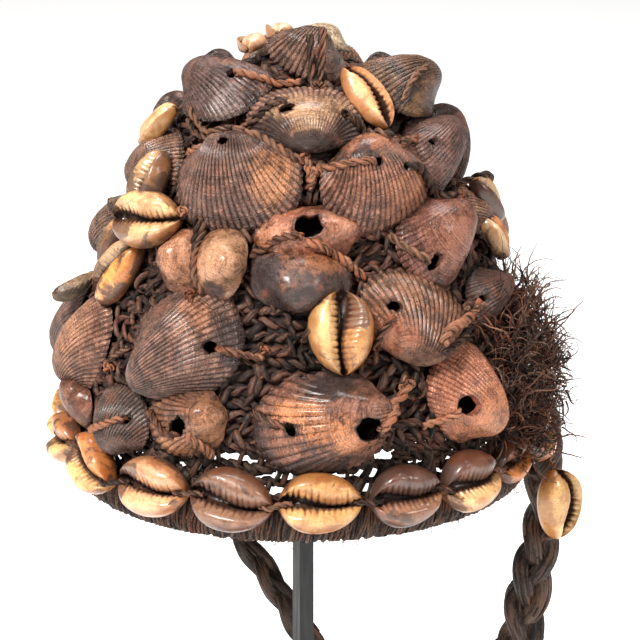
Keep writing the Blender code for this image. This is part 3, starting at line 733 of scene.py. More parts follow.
def cowrie_material():
    """Two glazed lips, darker at the ends and edges, with stains, and grime and painted shade in the slit and
    between the teeth.
    """
    made = Surface("cowrie_glaze")
    side = made.span(made.attribute("side"), -0.2, 0.2)
    left = made.node("ShaderNodeAttribute", attribute_name="left").outputs["Color"]
    right = made.node("ShaderNodeAttribute", attribute_name="right").outputs["Color"]
    body = made.mix(side, left, right)
    edge = made.attribute("edge")
    end = made.attribute("end")
    groove = made.attribute("groove")
    wander = made.noise(120.0, 4.0, rough=0.6, warp=0.6)
    cloud = made.noise(260.0, 4.0, rough=0.65)
    grain = made.noise(900.0, 4.0, rough=0.7)
    speck = made.math("SUBTRACT", grain, 0.5)
    deeper = made.mix(1.0, body, (0.5, 0.34, 0.24), "MULTIPLY")
    groove_grime_and_shade = made.mix(1.0, body, (0.3, 0.16, 0.1), "MULTIPLY")
    rim = made.add(made.span(edge, 0.45, 1.0), made.swing(cloud, 1.2))
    ends = made.span(made.times(end, end), 0.45, 1.0, 0.0, 0.7)
    shade = made.add(made.span(rim, 0.3, 1.0, 0.0, 0.8), made.span(wander, 0.48, 0.66, 0.0, 0.65))
    body = made.mix(made.add(shade, ends, clamp=True), body, deeper)
    spread = made.noise(150.0, 4.0, rough=0.65, warp=0.5)
    spread = made.add(spread, made.times(made.attribute("stain"), 0.4))
    spread = made.add(spread, made.span(end, -1.0, -0.35, 0.16, 0.0))
    spread = made.add(spread, made.span(edge, 0.8, 1.15, 0.0, 0.16))
    light = made.noise(200.0, 4.0, rough=0.6, warp=0.4)
    paler = made.mix(1.0, body, (1.5, 1.45, 1.4), "MULTIPLY")
    body = made.mix(made.span(light, 0.48, 0.6, 0.0, 0.45), body, paler)
    body = made.mix(made.span(light, 0.34, 0.46, 0.5, 0.0), body, deeper)
    stained = made.span(spread, 0.62, 0.74)
    body = made.mix(made.times(stained, 0.9), body, srgb(66, 44, 34))
    blot = made.add(made.attribute("blot"), made.swing(cloud, 2.0))
    body = made.mix(made.span(blot, 0.4, 0.7, 0.0, 0.85), body, srgb(88, 64, 54))
    near = made.add(made.span(edge, 0.1, 0.42, 0.7, 0.0), made.times(speck, 1.2))
    body = made.mix(made.span(near, 0.1, 0.9, 0.0, 0.6), body, deeper)
    # Painted shade, with grime, in the grooves between the teeth.
    dark = made.add(groove, made.times(speck, 0.8))
    body = made.mix(made.span(dark, 0.2, 0.75, 0.0, 0.9), body, groove_grime_and_shade)
    # Painted shade, with grime, down in the slit and on the lips' slopes into it.
    deep = made.add(made.attribute("deep"), made.times(speck, 0.5))
    body = made.mix(made.span(deep, 0.18, 0.58), body, srgb(54, 35, 28))
    grime = made.span(made.noise(1500.0, 3.0, rough=0.7), 0.54, 0.66, 0.0, 0.65)
    body = made.mix(grime, body, deeper)
    made.set("Base Color", body)
    dull = made.times(stained, 0.15)
    made.set("Roughness", made.add(made.span(wander, 0.4, 0.6, 0.3, 0.48), dull))
    made.set("Specular IOR Level", 0.5)
    made.set("Coat Weight", 0.35)
    made.set("Coat Roughness", 0.13)
    made.bump(grain, 0.2 * MM, 0.4)
    made.bump(made.noise(300.0, 3.0), 0.6 * MM, 0.4)
    return made.material


COWRIE_GLAZE = cowrie_material()

# The rim's cowries lie end to end: left is the upper lip here and right the lower one.
RIM_COWRIE_HEIGHT = 13.6
RIM_COWRIE_RADIUS = 72.9
RIM_COWRIE_LEAN = 14
RimCowrie = namedtuple(
    "RimCowrie",
    "name azimuth turn length width slit teeth left right stain blots taper open",
    defaults=[(0, 0), 0.1, 1],
)
RIM_COWRIES = [
    RimCowrie("rim_cowries_left", -95, 90, 21, 16, 0.0, 0.6, (214, 170, 112), (226, 186, 124), 0.2),
    RimCowrie("rim_cowries_left", -77, 80, 21, 16, 0.0, 0.6, (190, 132, 90), (228, 188, 124), 0.3),
    RimCowrie("rim_cowries_left", -57, 108, 23, 18, -0.05, 0.8,
              (208, 140, 84), (222, 178, 118), 0.15, (0.3, 0.3)),
    RimCowrie("rim_cowries_front", -35.5, 88, 25, 18.5, 0.0, 0.7,
              (196, 148, 110), (212, 164, 122), 0.1, (0.4, 0.2)),
    RimCowrie("rim_cowries_front", -15.3, 96, 26, 19.5, 0.05, 0.8, (128, 92, 72), (134, 98, 76), 0.15),
    RimCowrie("rim_cowries_front", 4.8, 90, 25.5, 18.5, 0.0, 0.9, (190, 140, 86), (200, 154, 100), -0.1),
    RimCowrie("rim_cowries_front", 25, 86, 23.5, 19, 0.0, 0.8, (92, 62, 50), (130, 90, 66), 0.25),
    RimCowrie("rim_cowries_right", 43, 84, 22, 19, 0.05, 0.8, (104, 68, 52), (216, 168, 118), 0.05),
    RimCowrie("rim_cowries_right", 61, 82, 19, 13.5, 0.0, 0.6, (128, 80, 52), (200, 126, 66), 0.15),
    RimCowrie("rim_cowries_right", 80, 90, 20, 17, 0.0, 0.6, (206, 138, 72), (190, 122, 62), 0.15),
    RimCowrie("rim_cowries_back_right", 101, 90, 25, 19, 0.0, 0.6, (186, 132, 86), (206, 158, 104), 0.2),
    RimCowrie("rim_cowries_back_right", 121, 88, 25, 19, 0.0, 0.6, (140, 96, 72), (164, 118, 86), 0.25),
    RimCowrie("rim_cowries_back_right", 141, 92, 25, 19, 0.0, 0.6, (218, 172, 112), (214, 166, 108), 0.05),
    RimCowrie("rim_cowries_back_right", 161, 90, 25, 19, 0.0, 0.6, (120, 84, 64), (176, 128, 88), 0.2),
    RimCowrie("rim_cowries_back_left", 182, 88, 25, 19, 0.0, 0.6, (200, 150, 98), (206, 160, 106), 0.15),
    RimCowrie("rim_cowries_back_left", 202, 92, 25, 19, 0.0, 0.6, (136, 98, 74), (140, 100, 76), 0.2),
    RimCowrie("rim_cowries_back_left", 222, 90, 25, 19, 0.0, 0.6, (212, 166, 108), (216, 174, 118), 0.1),
    RimCowrie("rim_cowries_back_left", 242, 90, 25, 19, 0.0, 0.6, (158, 112, 78), (190, 146, 102), 0.3),
]


def cowrie_outline(row, matrix):
    """Notes where a cowrie lies, for the shells and cords under it."""
    x, y = row.width / 2 * MM, row.length / 2 * MM
    turn = np.linspace(0, 2 * np.pi, 16, endpoint=False)
    low = np.stack([x * np.cos(turn), y * np.sin(turn), 0 * turn], axis=1)
    mid = np.stack([x * np.cos(turn), y * np.sin(turn), 0 * turn + row.width * BACK_SHARE * MM], axis=1)
    top = np.stack([0.6 * x * np.cos(turn), 0.6 * y * np.sin(turn), 0 * turn + row.width * 0.47 * MM], axis=1)
    outlines.append(Outline(moved(np.vstack([low * (0.7, 0.85, 1), mid, top]), matrix)))


def rim_seat(row):
    return seat(row.azimuth, RIM_COWRIE_RADIUS, RIM_COWRIE_HEIGHT, math.radians(RIM_COWRIE_LEAN), row.turn)


for run in dict.fromkeys(row.name for row in RIM_COWRIES):
    rows = [row for row in RIM_COWRIES if row.name == run]
    seats = [rim_seat(row) for row in rows]
    on_root(new_piece(run + "_glazed", cowrie_mesh(run, rows, seats), COWRIE_GLAZE), "cowrie_shell", run)
    for row, place in zip(rows, seats):
        cowrie_outline(row, place)


# ---------------------------------------------------------------- cowries among the shells
# The same kind of shell, sewn singly to the netting, each at its own slant. The two
# small pale ones at the top lie on their sides.

# The netting's outer face: heights over the rim's underside and radii, in millimetres.
NETTING = [
    (30, 69.8),
    (44, 67.5),
    (56, 63.5),
    (69, 58.5),
    (81, 53.0),
    (92, 48.0),
    (106, 41.5),
    (115, 36.5),
    (121, 31.5),
    (125, 26.0),
    (128, 19.0),
    (130, 10.0),
    (130.5, 0.0),
]
SLOPE_REACH = 7.0


def net_radius(height):
    return float(np.interp(height, [row[0] for row in NETTING], [row[1] for row in NETTING]))


def net_slope(height):
    low = max(height - SLOPE_REACH, 0.0)
    high = min(height + SLOPE_REACH, NETTING[-1][0])
    return math.atan2(net_radius(low) - net_radius(high), high - low)


def on_netting(azimuth, height, turn=0.0, lift=0.0, lean=0.0, side=0.0):
    """A seat on the netting, or lift millimetres out from it, leaning back by lean."""
    slope = net_slope(height)
    radius = net_radius(height) + lift * math.cos(slope)
    raised = height + lift * math.sin(slope)
    return seat(azimuth, radius, raised, slope + math.radians(lean), turn, side)


# Slit is its place across the shell in shares of the half width, teeth their reach;
# left and right are the colours of the two lips, stain the share gone dark, blots how
# much of each lip is dark from the slit's wide end.
Cowrie = namedtuple(
    "Cowrie",
    "name azimuth height turn length width lift lean side slit teeth left right stain blots taper open",
    defaults=[(0, 0), 0.1, 1],
)
COWRIES = [
    Cowrie("cowrie_front", 11, 62.5, 180, 25.5, 20, 1.5, 0, 0, 0.02, 1.0,
           (182, 132, 82), (206, 164, 112), 0.1, (0.48, 0)),
    Cowrie("cowrie_crown", 37.5, 122.3, -16, 23, 11.8, 4, -18, 0, 0.35, 0.6,
           (208, 160, 114), (196, 140, 96), 0.0, (0, 0), 0.1, 1.6),
    Cowrie("cowrie_left", -55, 87.5, 72, 24, 18, 5, 0, 20, 0.0, 0.5,
           (214, 172, 122), (206, 162, 116), 0.2, (0, 0.42)),
    Cowrie("cowrie_left_low", -64, 70.5, 30, 26, 15, 1.5, 0, 0, -0.3, 0.55,
           (172, 140, 104), (212, 146, 80), 0.34),
    Cowrie("cowrie_left_high", -61, 97.5, 4, 20, 15, 4.5, 0, 0, 0.15, 0.55,
           (204, 168, 122), (150, 114, 82), 0.4, (0, 0.5)),
    Cowrie("cowrie_left_peak", -77, 110.8, 34, 20, 11, 5, 0, 0, 0.5, 0.2,
           (214, 182, 134), (200, 164, 114), -0.2),
    Cowrie("cowrie_left_back", -78, 75.5, 20, 17, 10, 3, 0, 0, 0.0, 0.5,
           (190, 146, 98), (122, 88, 58), 0.4),
    Cowrie("cowrie_right_olive", 86, 85.5, -38, 22, 12, 6, 0, 0, 0.1, 0.5,
           (86, 58, 40), (190, 142, 84), 0.15, (0.3, 0)),
    Cowrie("cowrie_right_low", 81, 75.5, -20, 17, 11, 4.5, 0, 0, 0.1, 0.6,
           (206, 178, 140), (196, 124, 70), 0.2, (0.4, 0)),
    Cowrie("cowrie_top_left", -108, 129.2, 80, 14, 9, 6, 0, 0, 0.6, 0.1,
           (226, 190, 158), (222, 188, 154), -0.2),
    Cowrie("cowrie_top_back", -152, 129.8, 30, 15, 9, 7.5, 0, 0, 0.6, 0.1,
           (224, 198, 170), (218, 190, 158), -0.2),
]

for row in COWRIES:
    place = on_netting(row.azimuth, row.height, row.turn, row.lift, row.lean, row.side)
    thing = new_piece(row.name + "_glazed", cowrie_mesh(row.name, [row], [place]), COWRIE_GLAZE)
    on_root(thing, "cowrie_shell", row.name)
    cowrie_outline(row, place)


# ---------------------------------------------------------------- lashing of the strap's upper end
# The braid goes on up outside the rim as a three-ply cord and is worked into the
# netting there, which holds the strap's swollen end.


# A ply's way off the rope's middle and its own radius, as shares of the rope's radius.
PLY_OFFSET = 0.52
PLY_THICKNESS = 0.56


def add_rope(bundle, path, radius, plies=2, pitch=7 * MM, sides=6, rng=None, closed=False):
    """Plies twisted round a path, each a little uneven."""
    count = len(path)
    _, side, other = frames_along(path, closed)
    steps = np.linalg.norm(np.diff(path, axis=0), axis=1)
    along = np.concatenate([[0], np.cumsum(steps)])
    radius = np.broadcast_to(np.asarray(radius, dtype=float), (count,))
    turns = along / pitch
    if closed:
        total = along[-1] + np.linalg.norm(path[0] - path[-1])
        drift = math.atan2(np.dot(side[0], other[-1]), np.dot(side[0], side[-1]))
        whole = round(total / pitch) + drift / (2 * np.pi)
        turns = along / total * whole
    tone = rng.uniform(0, 1)
    for ply in range(plies):
        angle = 2 * np.pi * (turns + ply / plies)
        off = np.cos(angle)[:, None] * side + np.sin(angle)[:, None] * other
        uneven = 1 + 0.10 * np.sin(along / (2.3 * MM) + rng.uniform(0, 6.3))
        centre = path + off * (radius * PLY_OFFSET)[:, None]
        ribs = 1 + rng.uniform(-0.13, 0.13, sides)
        shade = min(1, max(0, tone + rng.uniform(-0.15, 0.15)))
        add_tube(bundle, centre, radius * PLY_THICKNESS * uneven, sides, shade, ribs, closed)


LASHING_STOPS = [
    (78.6, 0, -14),
    (79.4, -0.5, -4),
    (80.2, -0.6, 6),
    (78.6, -0.4, 15),
    (74.2, 0, 22),
    (70, 0.5, 28),
]
lashing_path = smooth_path([(x * MM, y * MM, RIM_HEIGHT + z * MM) for x, y, z in LASHING_STOPS], 1.5 * MM)
lashing_radius = np.linspace(4.6, 3.6, len(lashing_path)) * MM
lashing = Bundle()
add_rope(lashing, lashing_path, lashing_radius, 3, 22 * MM, 14, np.random.default_rng(15))
on_root(lashing.piece("strap_lashing", STRAP_FIBRE), "knotted_fibre")


# ---------------------------------------------------------------- cowrie on the strap
# One cowrie hangs at the front of the strap's upper end. A short twine round each of
# its ends holds it to the braid.

STRAP_COWRIE = (79.8, -8.5, -10.5)
strap_cowrie_row = Cowrie("strap_cowrie", 0, 0, 0, 24, 16, 0, 0, 0, 0.42, 0.45,
                          (220, 172, 112), (216, 178, 124), -0.2, (0, 0), -0.2, 2.1)
place = Matrix.Translation(Vector(STRAP_COWRIE) * MM + Vector((0, 0, RIM_HEIGHT)))
place = place @ Matrix.Rotation(math.radians(48), 4, "Z") @ Matrix.Rotation(math.pi / 2, 4, "X")
place = place @ Matrix.Rotation(math.radians(3), 4, "Z")
strap_cowrie_mesh = cowrie_mesh("strap_cowrie", [strap_cowrie_row], [place], pressed=False)
strap_cowrie = new_piece("strap_cowrie_glazed", strap_cowrie_mesh, COWRIE_GLAZE)
on_root(strap_cowrie, "cowrie_shell", "strap_cowrie")

BROWN_TWINE = fibre_material("brown_twine", srgb(40, 26, 20), srgb(124, 88, 68), srgb(130, 78, 56), 0.04)
STRAP_TIES = [
    [(80.6, -10.2, 0.4), (80.6, -7.5, 2.2), (80.2, -4.0, 3.6), (79.0, -0.5, 4.4)],
    [(80.2, -9.4, -21.6), (80.0, -6.5, -23.2), (79.4, -3.0, -24.6), (77.4, 0.5, -25.6)],
]
strap_ties = Bundle()
for stops in STRAP_TIES:
    tie_path = smooth_path([(x * MM, y * MM, RIM_HEIGHT + z * MM) for x, y, z in stops], 0.8 * MM)
    add_rope(strap_ties, tie_path, 1.1 * MM, 2, 5 * MM, 6, np.random.default_rng(16))
on_root(strap_ties.piece("strap_cowrie_ties", BROWN_TWINE), "knotted_fibre")


# ---------------------------------------------------------------- bivalve shells
# Half shells of ark clams and the like, drilled and tied on, laid here from the top
# one down so that each lower one gives way. A shell grows as the real one does: its
# margin shrinks and swings about the hinge, with ribs that fan from the beak.

# As a margin swings about the hinge to CURL_END radians, its size falls as exp(-CURL * swing).
# PEAK is the most that the fall leaves of the swing's sine, so it scales the bulge. Past
# the age KNOB_START the rings close in to the beak.
CURL = 0.85
CURL_END = 1.75
KNOB_START = 0.6
HINGE_SET_BACK = 0.05
MARGIN_SQUARED = 0.86
HINGE_SQUARED = 0.74
PEAK = 0.365
SAMPLES_PER_RIB = 5
LEVELS = 23
FAR_LEVELS = 14
FRONT_TURN = 72
FEWEST_RIBS = 18
SMOOTH_COLUMNS = 84
LAST_AGE = 0.985
EDGE_AGE = 0.02
EDGE_LEVEL = 6
WALL = 1.3 * MM


def margin_columns(length, tall, skew, count):
    """The margin's points, evenly spaced along it, its hinge side near the origin."""
    turn = np.linspace(0, 2 * np.pi, 721)
    cos, sin = np.cos(turn), np.sin(turn)
    squared = np.where(sin > 0, HINGE_SQUARED, MARGIN_SQUARED)
    across = np.sign(cos) * np.abs(cos) ** squared
    along = np.sign(sin) * np.abs(sin) ** squared
    x = length * (across / 2 + skew)
    y = tall * (along / 2 - 0.5 - HINGE_SET_BACK)
    reach = np.concatenate([[0], np.cumsum(np.hypot(np.diff(x), np.diff(y)))])
    goal = np.linspace(0, reach[-1], count, endpoint=False)
    return np.interp(goal, reach, x), np.interp(goal, reach, y)


def valve_grid(length, tall, bulge, skew, columns, ages):
    """Points of the dome, ages by columns, centred on the margin's middle."""
    x, y = margin_columns(length, tall, skew, columns)
    swing = CURL_END * ages[:, None]
    size = np.exp(-CURL * swing)
    rise = bulge / (PEAK * tall * (1 + HINGE_SET_BACK))
    grid = np.stack([size * x, size * y * np.cos(swing), -size * y * np.sin(swing) * rise], axis=-1)
    past = np.clip((ages - KNOB_START) / (1 - KNOB_START), 0, 1)
    middle = grid.mean(axis=1, keepdims=True)
    grid = middle + (grid - middle) * np.sqrt(1 - past**2)[:, None, None]
    return grid - np.array([skew * length, -tall * (0.5 + HINGE_SET_BACK), 0])


def grid_normals(grid):
    """Unit normals of rings of points, out of the dome."""
    ahead = np.gradient(grid, axis=0)
    round_it = (np.roll(grid, -1, axis=1) - np.roll(grid, 1, axis=1)) / 2
    normals = np.cross(round_it, ahead)
    return normals / (np.linalg.norm(normals, axis=-1, keepdims=True) + 1e-15)


def valve_points(row, look, levels, samples=SAMPLES_PER_RIB):
    """Points, faces and marks of one valve in its own seat."""
    ribs = look.ribs
    columns = max(ribs, FEWEST_RIBS) * samples if ribs else SMOOTH_COLUMNS
    ages = np.linspace(0, LAST_AGE, levels)
    length, tall, bulge = row.length * MM, row.tall * MM, row.bulge * MM
    grid = valve_grid(length, tall, bulge, row.skew, columns, ages)
    normals = grid_normals(grid)
    phase = np.arange(columns) % samples / samples
    crest = 1 - np.abs(2 * phase - 1) ** 2.4 if ribs else np.ones(columns)
    crest = np.broadcast_to(crest, (levels, columns))
    fade = np.clip((0.97 - ages) / 0.25, 0, 1)[:, None]
    flat = grid.reshape(-1, 3)
    seed = sum(ord(c) for c in row.name)
    drift = soft_noise(flat, 13 * MM, seed).reshape(levels, columns)
    steps = soft_noise(np.stack([ages * 30 * MM, ages * 0, ages * 0], axis=1), 7 * MM, seed + 1)
    across, along = grid[..., 0] / (length / 2), grid[..., 1] / (tall / 2)
    rubbed = np.zeros(grid.shape[:2])
    for patch in PATCHES:
        if patch.valve == row.name and patch.kind in ("smooth", "worn"):
            far = np.hypot((across - patch.across) / patch.wide, (along - patch.along) / patch.tall)
            keep = 0.12 if patch.kind == "worn" else 1.0
            rubbed = np.maximum(rubbed, keep * np.clip(1.6 - far, 0, 1))
    fade = fade * (1 - rubbed)
    relief = look.depth * MM * (crest - 1) * fade * (1 + 0.25 * drift)
    relief = relief + 0.16 * MM * steps[:, None] * fade + look.rough * MM * drift
    grid = grid + normals * relief[..., None]
    chips = np.random.default_rng(seed).uniform(-1.4, 0.4, columns // samples + 1)
    chipped = np.repeat(chips, samples)[:columns]
    scallop = (0.9 * look.depth * (crest - 0.6) + 0.28 * chipped * (look.ribs > 0)) * MM
    edge = np.exp(-ages / EDGE_AGE)[:, None, None] * scallop[..., None]
    spread = grid - grid[EDGE_LEVEL]
    grid = grid + edge * spread / (np.linalg.norm(spread, axis=-1, keepdims=True) + 1e-9)
    inner = valve_grid(length, tall, bulge, row.skew, columns, np.array([0.0, 0.2, 0.5]))
    inner_normals = grid_normals(inner)
    inner = inner - inner_normals * WALL * np.array([0.55, 1, 1])[:, None, None]
    inner[..., 2] = np.maximum(inner[..., 2], 0.0)
    points = np.vstack([grid.reshape(-1, 3), inner.reshape(-1, 3)])
    points = np.vstack([points, grid[-1].mean(axis=0)[None], inner[-1].mean(axis=0)[None]])
    outer = levels * columns
    faces = ring_quads(levels, columns).tolist()
    faces += ring_quads(3, columns, outer, True).tolist()
    j = np.arange(columns)
    k = (j + 1) % columns
    faces += np.stack([outer + j, outer + k, k, j], axis=1).tolist()
    tip, roof = outer + 3 * columns, outer + 3 * columns + 1
    last = (levels - 1) * columns
    faces += [(last + a, last + b, tip) for a, b in zip(j.tolist(), k.tolist())]
    low = outer + 2 * columns
    faces += [(low + b, low + a, roof) for a, b in zip(j.tolist(), k.tolist())]
    rib = np.concatenate([(1 - (1 - crest) * fade).ravel(), np.full(3 * columns + 2, 0.4)])
    age = np.concatenate([np.repeat(ages, columns), np.full(3 * columns + 2, 0.3)])
    # The inner face is painted dark as the shade under the shell; a turned-over shard, whose inner face
    # shows, gets a quarter of it.
    inside_shade = 0.25 if row.lean < -90 else 1.0
    inside = np.concatenate([np.zeros(outer), np.full(3 * columns, inside_shade), [0, inside_shade]])
    u, v = points[:, 0] / (length / 2), points[:, 1] / (tall / 2)
    marks = {"rib": rib, "age": age, "inside": inside, "worn": u * 0, "stain": u * 0, "smooth": u * 0}
    for patch in PATCHES:
        if patch.valve != row.name:
            continue
        far = np.hypot((u - patch.across) / patch.wide, (v - patch.along) / patch.tall)
        marks[patch.kind] = np.maximum(marks[patch.kind], np.clip(1.5 - far, 0, 1))
    return points, faces, marks


PUNCH_CORNERS = 14


def punch(thing, matrix, holes, row):
    """Cuts each hole right through with a ragged punch."""
    for number, hole in enumerate(holes):
        rng = np.random.default_rng(number + 7)
        corners = PUNCH_CORNERS
        angle = 2 * np.pi * np.arange(corners) / corners
        reach = 1 + rng.uniform(-hole.ragged, hole.ragged, corners)
        x, y = np.cos(angle) * hole.wide / 2 * reach, np.sin(angle) * hole.tall / 2 * reach
        turn = math.radians(hole.turn)
        cos, sin = math.cos(turn), math.sin(turn)
        flat = np.stack([x * cos - y * sin, x * sin + y * cos], axis=1)
        centre = np.array([hole.across * row.length / 2, hole.along * row.tall / 2])
        low = np.column_stack([flat * 0.9 + centre, np.full(corners, 0.2 * row.bulge)])
        high = np.column_stack([flat * 1.08 + centre, np.full(corners, 2.2 * row.bulge)])
        points = np.vstack([low, high]) * MM
        faces = [tuple(range(corners))[::-1], tuple(range(corners, 2 * corners))]
        faces += [(i, (i + 1) % corners, corners + (i + 1) % corners, corners + i) for i in range(corners)]
        tool_mesh = bpy.data.meshes.new("punch")
        tool_mesh.from_pydata(points.tolist(), [], faces)
        tool = bpy.data.objects.new("punch", tool_mesh)
        scene.collection.objects.link(tool)
        tool.matrix_world = matrix
        knife = thing.modifiers.new("hole", "BOOLEAN")
        knife.operation = "DIFFERENCE"
        knife.solver = "EXACT"
        knife.object = tool
        bpy.context.view_layer.update()
        seen = thing.evaluated_get(bpy.context.evaluated_depsgraph_get())
        cut_mesh = bpy.data.meshes.new_from_object(seen)
        thing.modifiers.clear()
        old = thing.data
        thing.data = cut_mesh
        bpy.data.meshes.remove(old)
        bpy.data.objects.remove(tool)
        bpy.data.meshes.remove(tool_mesh)


# Shells in the order in which they lie, the top one first: as in the solid model.
Valve = namedtuple(
    "Valve", "name azimuth height turn length tall bulge lift lean side skew", defaults=[0, 0, 0.0]
)
VALVES = [
    Valve("valve_fan", 34, 64.5, 208, 40, 26, 11, 1.5, -4, 0, 0.04),
    Valve("valve_crown_top", 10, 130, 34, 25.5, 15.5, 9, 6, -32),
    Valve("valve_crown_left", -53, 124.5, -92, 27, 31, 11, 1.5, -8),
    Valve("valve_crown_right", 69, 122.5, 112, 25, 28, 12, 4, -6),
    Valve("valve_crown_front", 3.5, 121, 178, 35, 23, 11, 1, -8),
    Valve("valve_front_left", -24.5, 102.2, -8, 42, 30, 12, 1, -2, 0, 0.04),
    Valve("valve_front_right", 32, 102, -14, 40, 28, 12, 1, 0, 0, 0.05),
    Valve("valve_low_front", 5, 37, 82, 31, 40, 12, 1, 0, 0, 0.04),
    Valve("valve_low_right", 45.5, 40.7, 150, 29, 30, 12, 1),
    Valve("valve_right_mid", 48.5, 83, 60, 28, 30, 13, 1),
    Valve("valve_low_left", -31, 57.5, -125, 34, 38, 12, 1, 0, 0, 0.14),
    Valve("valve_broken_upper", 1.5, 90, 90, 18, 30, 10, 1.5, 4),
    Valve("valve_smooth_front", 0.5, 79, 180, 31, 21, 11, 1.5, 2),
    Valve("nut_right", -25, 80.5, 95, 22.5, 18.5, 9.5, 3, 0, -10),
    Valve("nut_left", -38.5, 79.5, -95, 20, 13.5, 8, 2, 0, 12),
    Valve("valve_left_fine", -49, 31.5, 176, 25, 20, 9.5, 1.5),
    Valve("valve_low_broken", -29, 35.5, 72, 23, 27, 10, 1.5),
    Valve("valve_right_dark", 62.5, 105.5, 64, 24, 29, 13, 1),
    Valve("valve_left_ribbed", -69, 102.5, 208, 27, 21, 11, 1),
    Valve("valve_left_edge", -72, 48, 200, 29, 30, 11, 1),
    Valve("valve_right_small", 65.5, 63, 80, 17, 23, 9, 1),
    Valve("valve_left_smooth", -72, 28.5, 12, 22, 15, 8, 1.5),
    Valve("valve_right_ribbed", 80, 86.5, 150, 17, 16, 7, 3),
    Valve("valve_crown_peak", 156, 129.5, 180, 21, 19, 8.5, 4),
    Valve("valve_crown_dark", 122, 121.5, 0, 19, 15, 7.5, 1),
    Valve("valve_crown_back", -124, 121, 0, 21, 16, 8, 1.5),
    Valve("valve_right_back", 91, 102.5, 20, 22, 25, 11, 1.5),
    Valve("shell_shard", -90, 57.5, 0, 12, 15, 5, 9, -135),
    Valve("shell_chip", -80, 88, 20, 9, 10, 4, 6.5, -120),
]

# How each one looks: ribs all the way round, their depth and the lumps of the surface
# in millimetres, the colours of crest, groove and rubbed places, and the dullness.
Look = namedtuple("Look", "ribs depth rough crest groove worn dullness", defaults=[0.42])
LOOKS = {
    "valve_fan": Look(42, 0.8, 0.12, (150, 106, 80), (52, 31, 24), (176, 110, 76), 0.4),
    "valve_crown_top": Look(32, 0.45, 0.1, (140, 104, 86), (66, 46, 38), (124, 106, 98), 0.4),
    "valve_crown_left": Look(46, 0.5, 0.12, (106, 80, 72), (46, 33, 30), (132, 110, 102), 0.34),
    "valve_crown_right": Look(44, 0.4, 0.12, (112, 80, 56), (42, 29, 24), (150, 112, 74), 0.38),
    "valve_crown_front": Look(46, 0.3, 0.12, (164, 124, 104), (92, 64, 54), (180, 142, 104), 0.4),
    "valve_front_left": Look(50, 0.65, 0.14, (126, 92, 77), (46, 30, 26), (176, 122, 82), 0.4),
    "valve_front_right": Look(48, 0.5, 0.14, (160, 112, 90), (70, 44, 35), (164, 106, 70), 0.36),
    "valve_low_front": Look(30, 0.7, 0.14, (140, 94, 72), (48, 34, 32), (196, 130, 82), 0.38),
    "valve_low_right": Look(52, 0.22, 0.1, (186, 124, 94), (122, 70, 52), (192, 128, 82), 0.4),
    "valve_right_mid": Look(44, 0.22, 0.14, (128, 82, 66), (76, 46, 38), (150, 98, 72), 0.3),
    "valve_low_left": Look(50, 0.42, 0.14, (134, 98, 82), (60, 42, 36), (166, 116, 86), 0.36),
    "valve_broken_upper": Look(0, 0.0, 0.75, (146, 90, 62), (78, 46, 36), (182, 126, 96), 0.4),
    "valve_smooth_front": Look(0, 0.0, 0.3, (92, 66, 56), (42, 30, 28), (156, 104, 70), 0.3),
    "nut_right": Look(0, 0.0, 0.12, (168, 120, 88), (60, 40, 32), (178, 134, 100), 0.32),
    "nut_left": Look(0, 0.0, 0.12, (164, 112, 84), (60, 40, 32), (182, 130, 96), 0.34),
    "valve_left_fine": Look(46, 0.45, 0.1, (116, 92, 80), (52, 38, 34), (126, 88, 70), 0.4),
    "valve_low_broken": Look(30, 0.5, 0.4, (150, 104, 76), (58, 38, 32), (184, 130, 90), 0.4),
    "valve_right_dark": Look(50, 0.18, 0.12, (116, 82, 70), (74, 50, 44), (130, 92, 76), 0.4),
    "valve_left_ribbed": Look(48, 0.5, 0.1, (150, 114, 94), (54, 38, 34), (146, 104, 82)),
    "valve_left_edge": Look(46, 0.45, 0.12, (168, 122, 98), (82, 54, 44), (176, 128, 96)),
    "valve_right_small": Look(44, 0.25, 0.16, (120, 84, 70), (60, 40, 36), (132, 94, 76)),
    "valve_left_smooth": Look(0, 0.0, 0.2, (134, 88, 66), (60, 38, 32), (170, 116, 84)),
    "valve_right_ribbed": Look(40, 0.4, 0.1, (168, 124, 98), (76, 52, 42), (150, 106, 82)),
    "valve_crown_peak": Look(38, 0.3, 0.12, (190, 164, 134), (110, 84, 66), (206, 184, 154)),
    "valve_crown_dark": Look(40, 0.3, 0.14, (84, 60, 50), (40, 28, 26), (100, 72, 58)),
    "valve_crown_back": Look(40, 0.3, 0.14, (92, 66, 56), (44, 32, 28), (110, 80, 64)),
    "shell_shard": Look(24, 0.2, 0.3, (156, 128, 96), (70, 52, 40), (170, 142, 108)),
    "shell_chip": Look(20, 0.2, 0.25, (120, 94, 72), (60, 44, 34), (150, 120, 90)),
    "valve_right_back": Look(44, 0.4, 0.12, (110, 72, 54), (50, 32, 28), (130, 84, 60)),
}

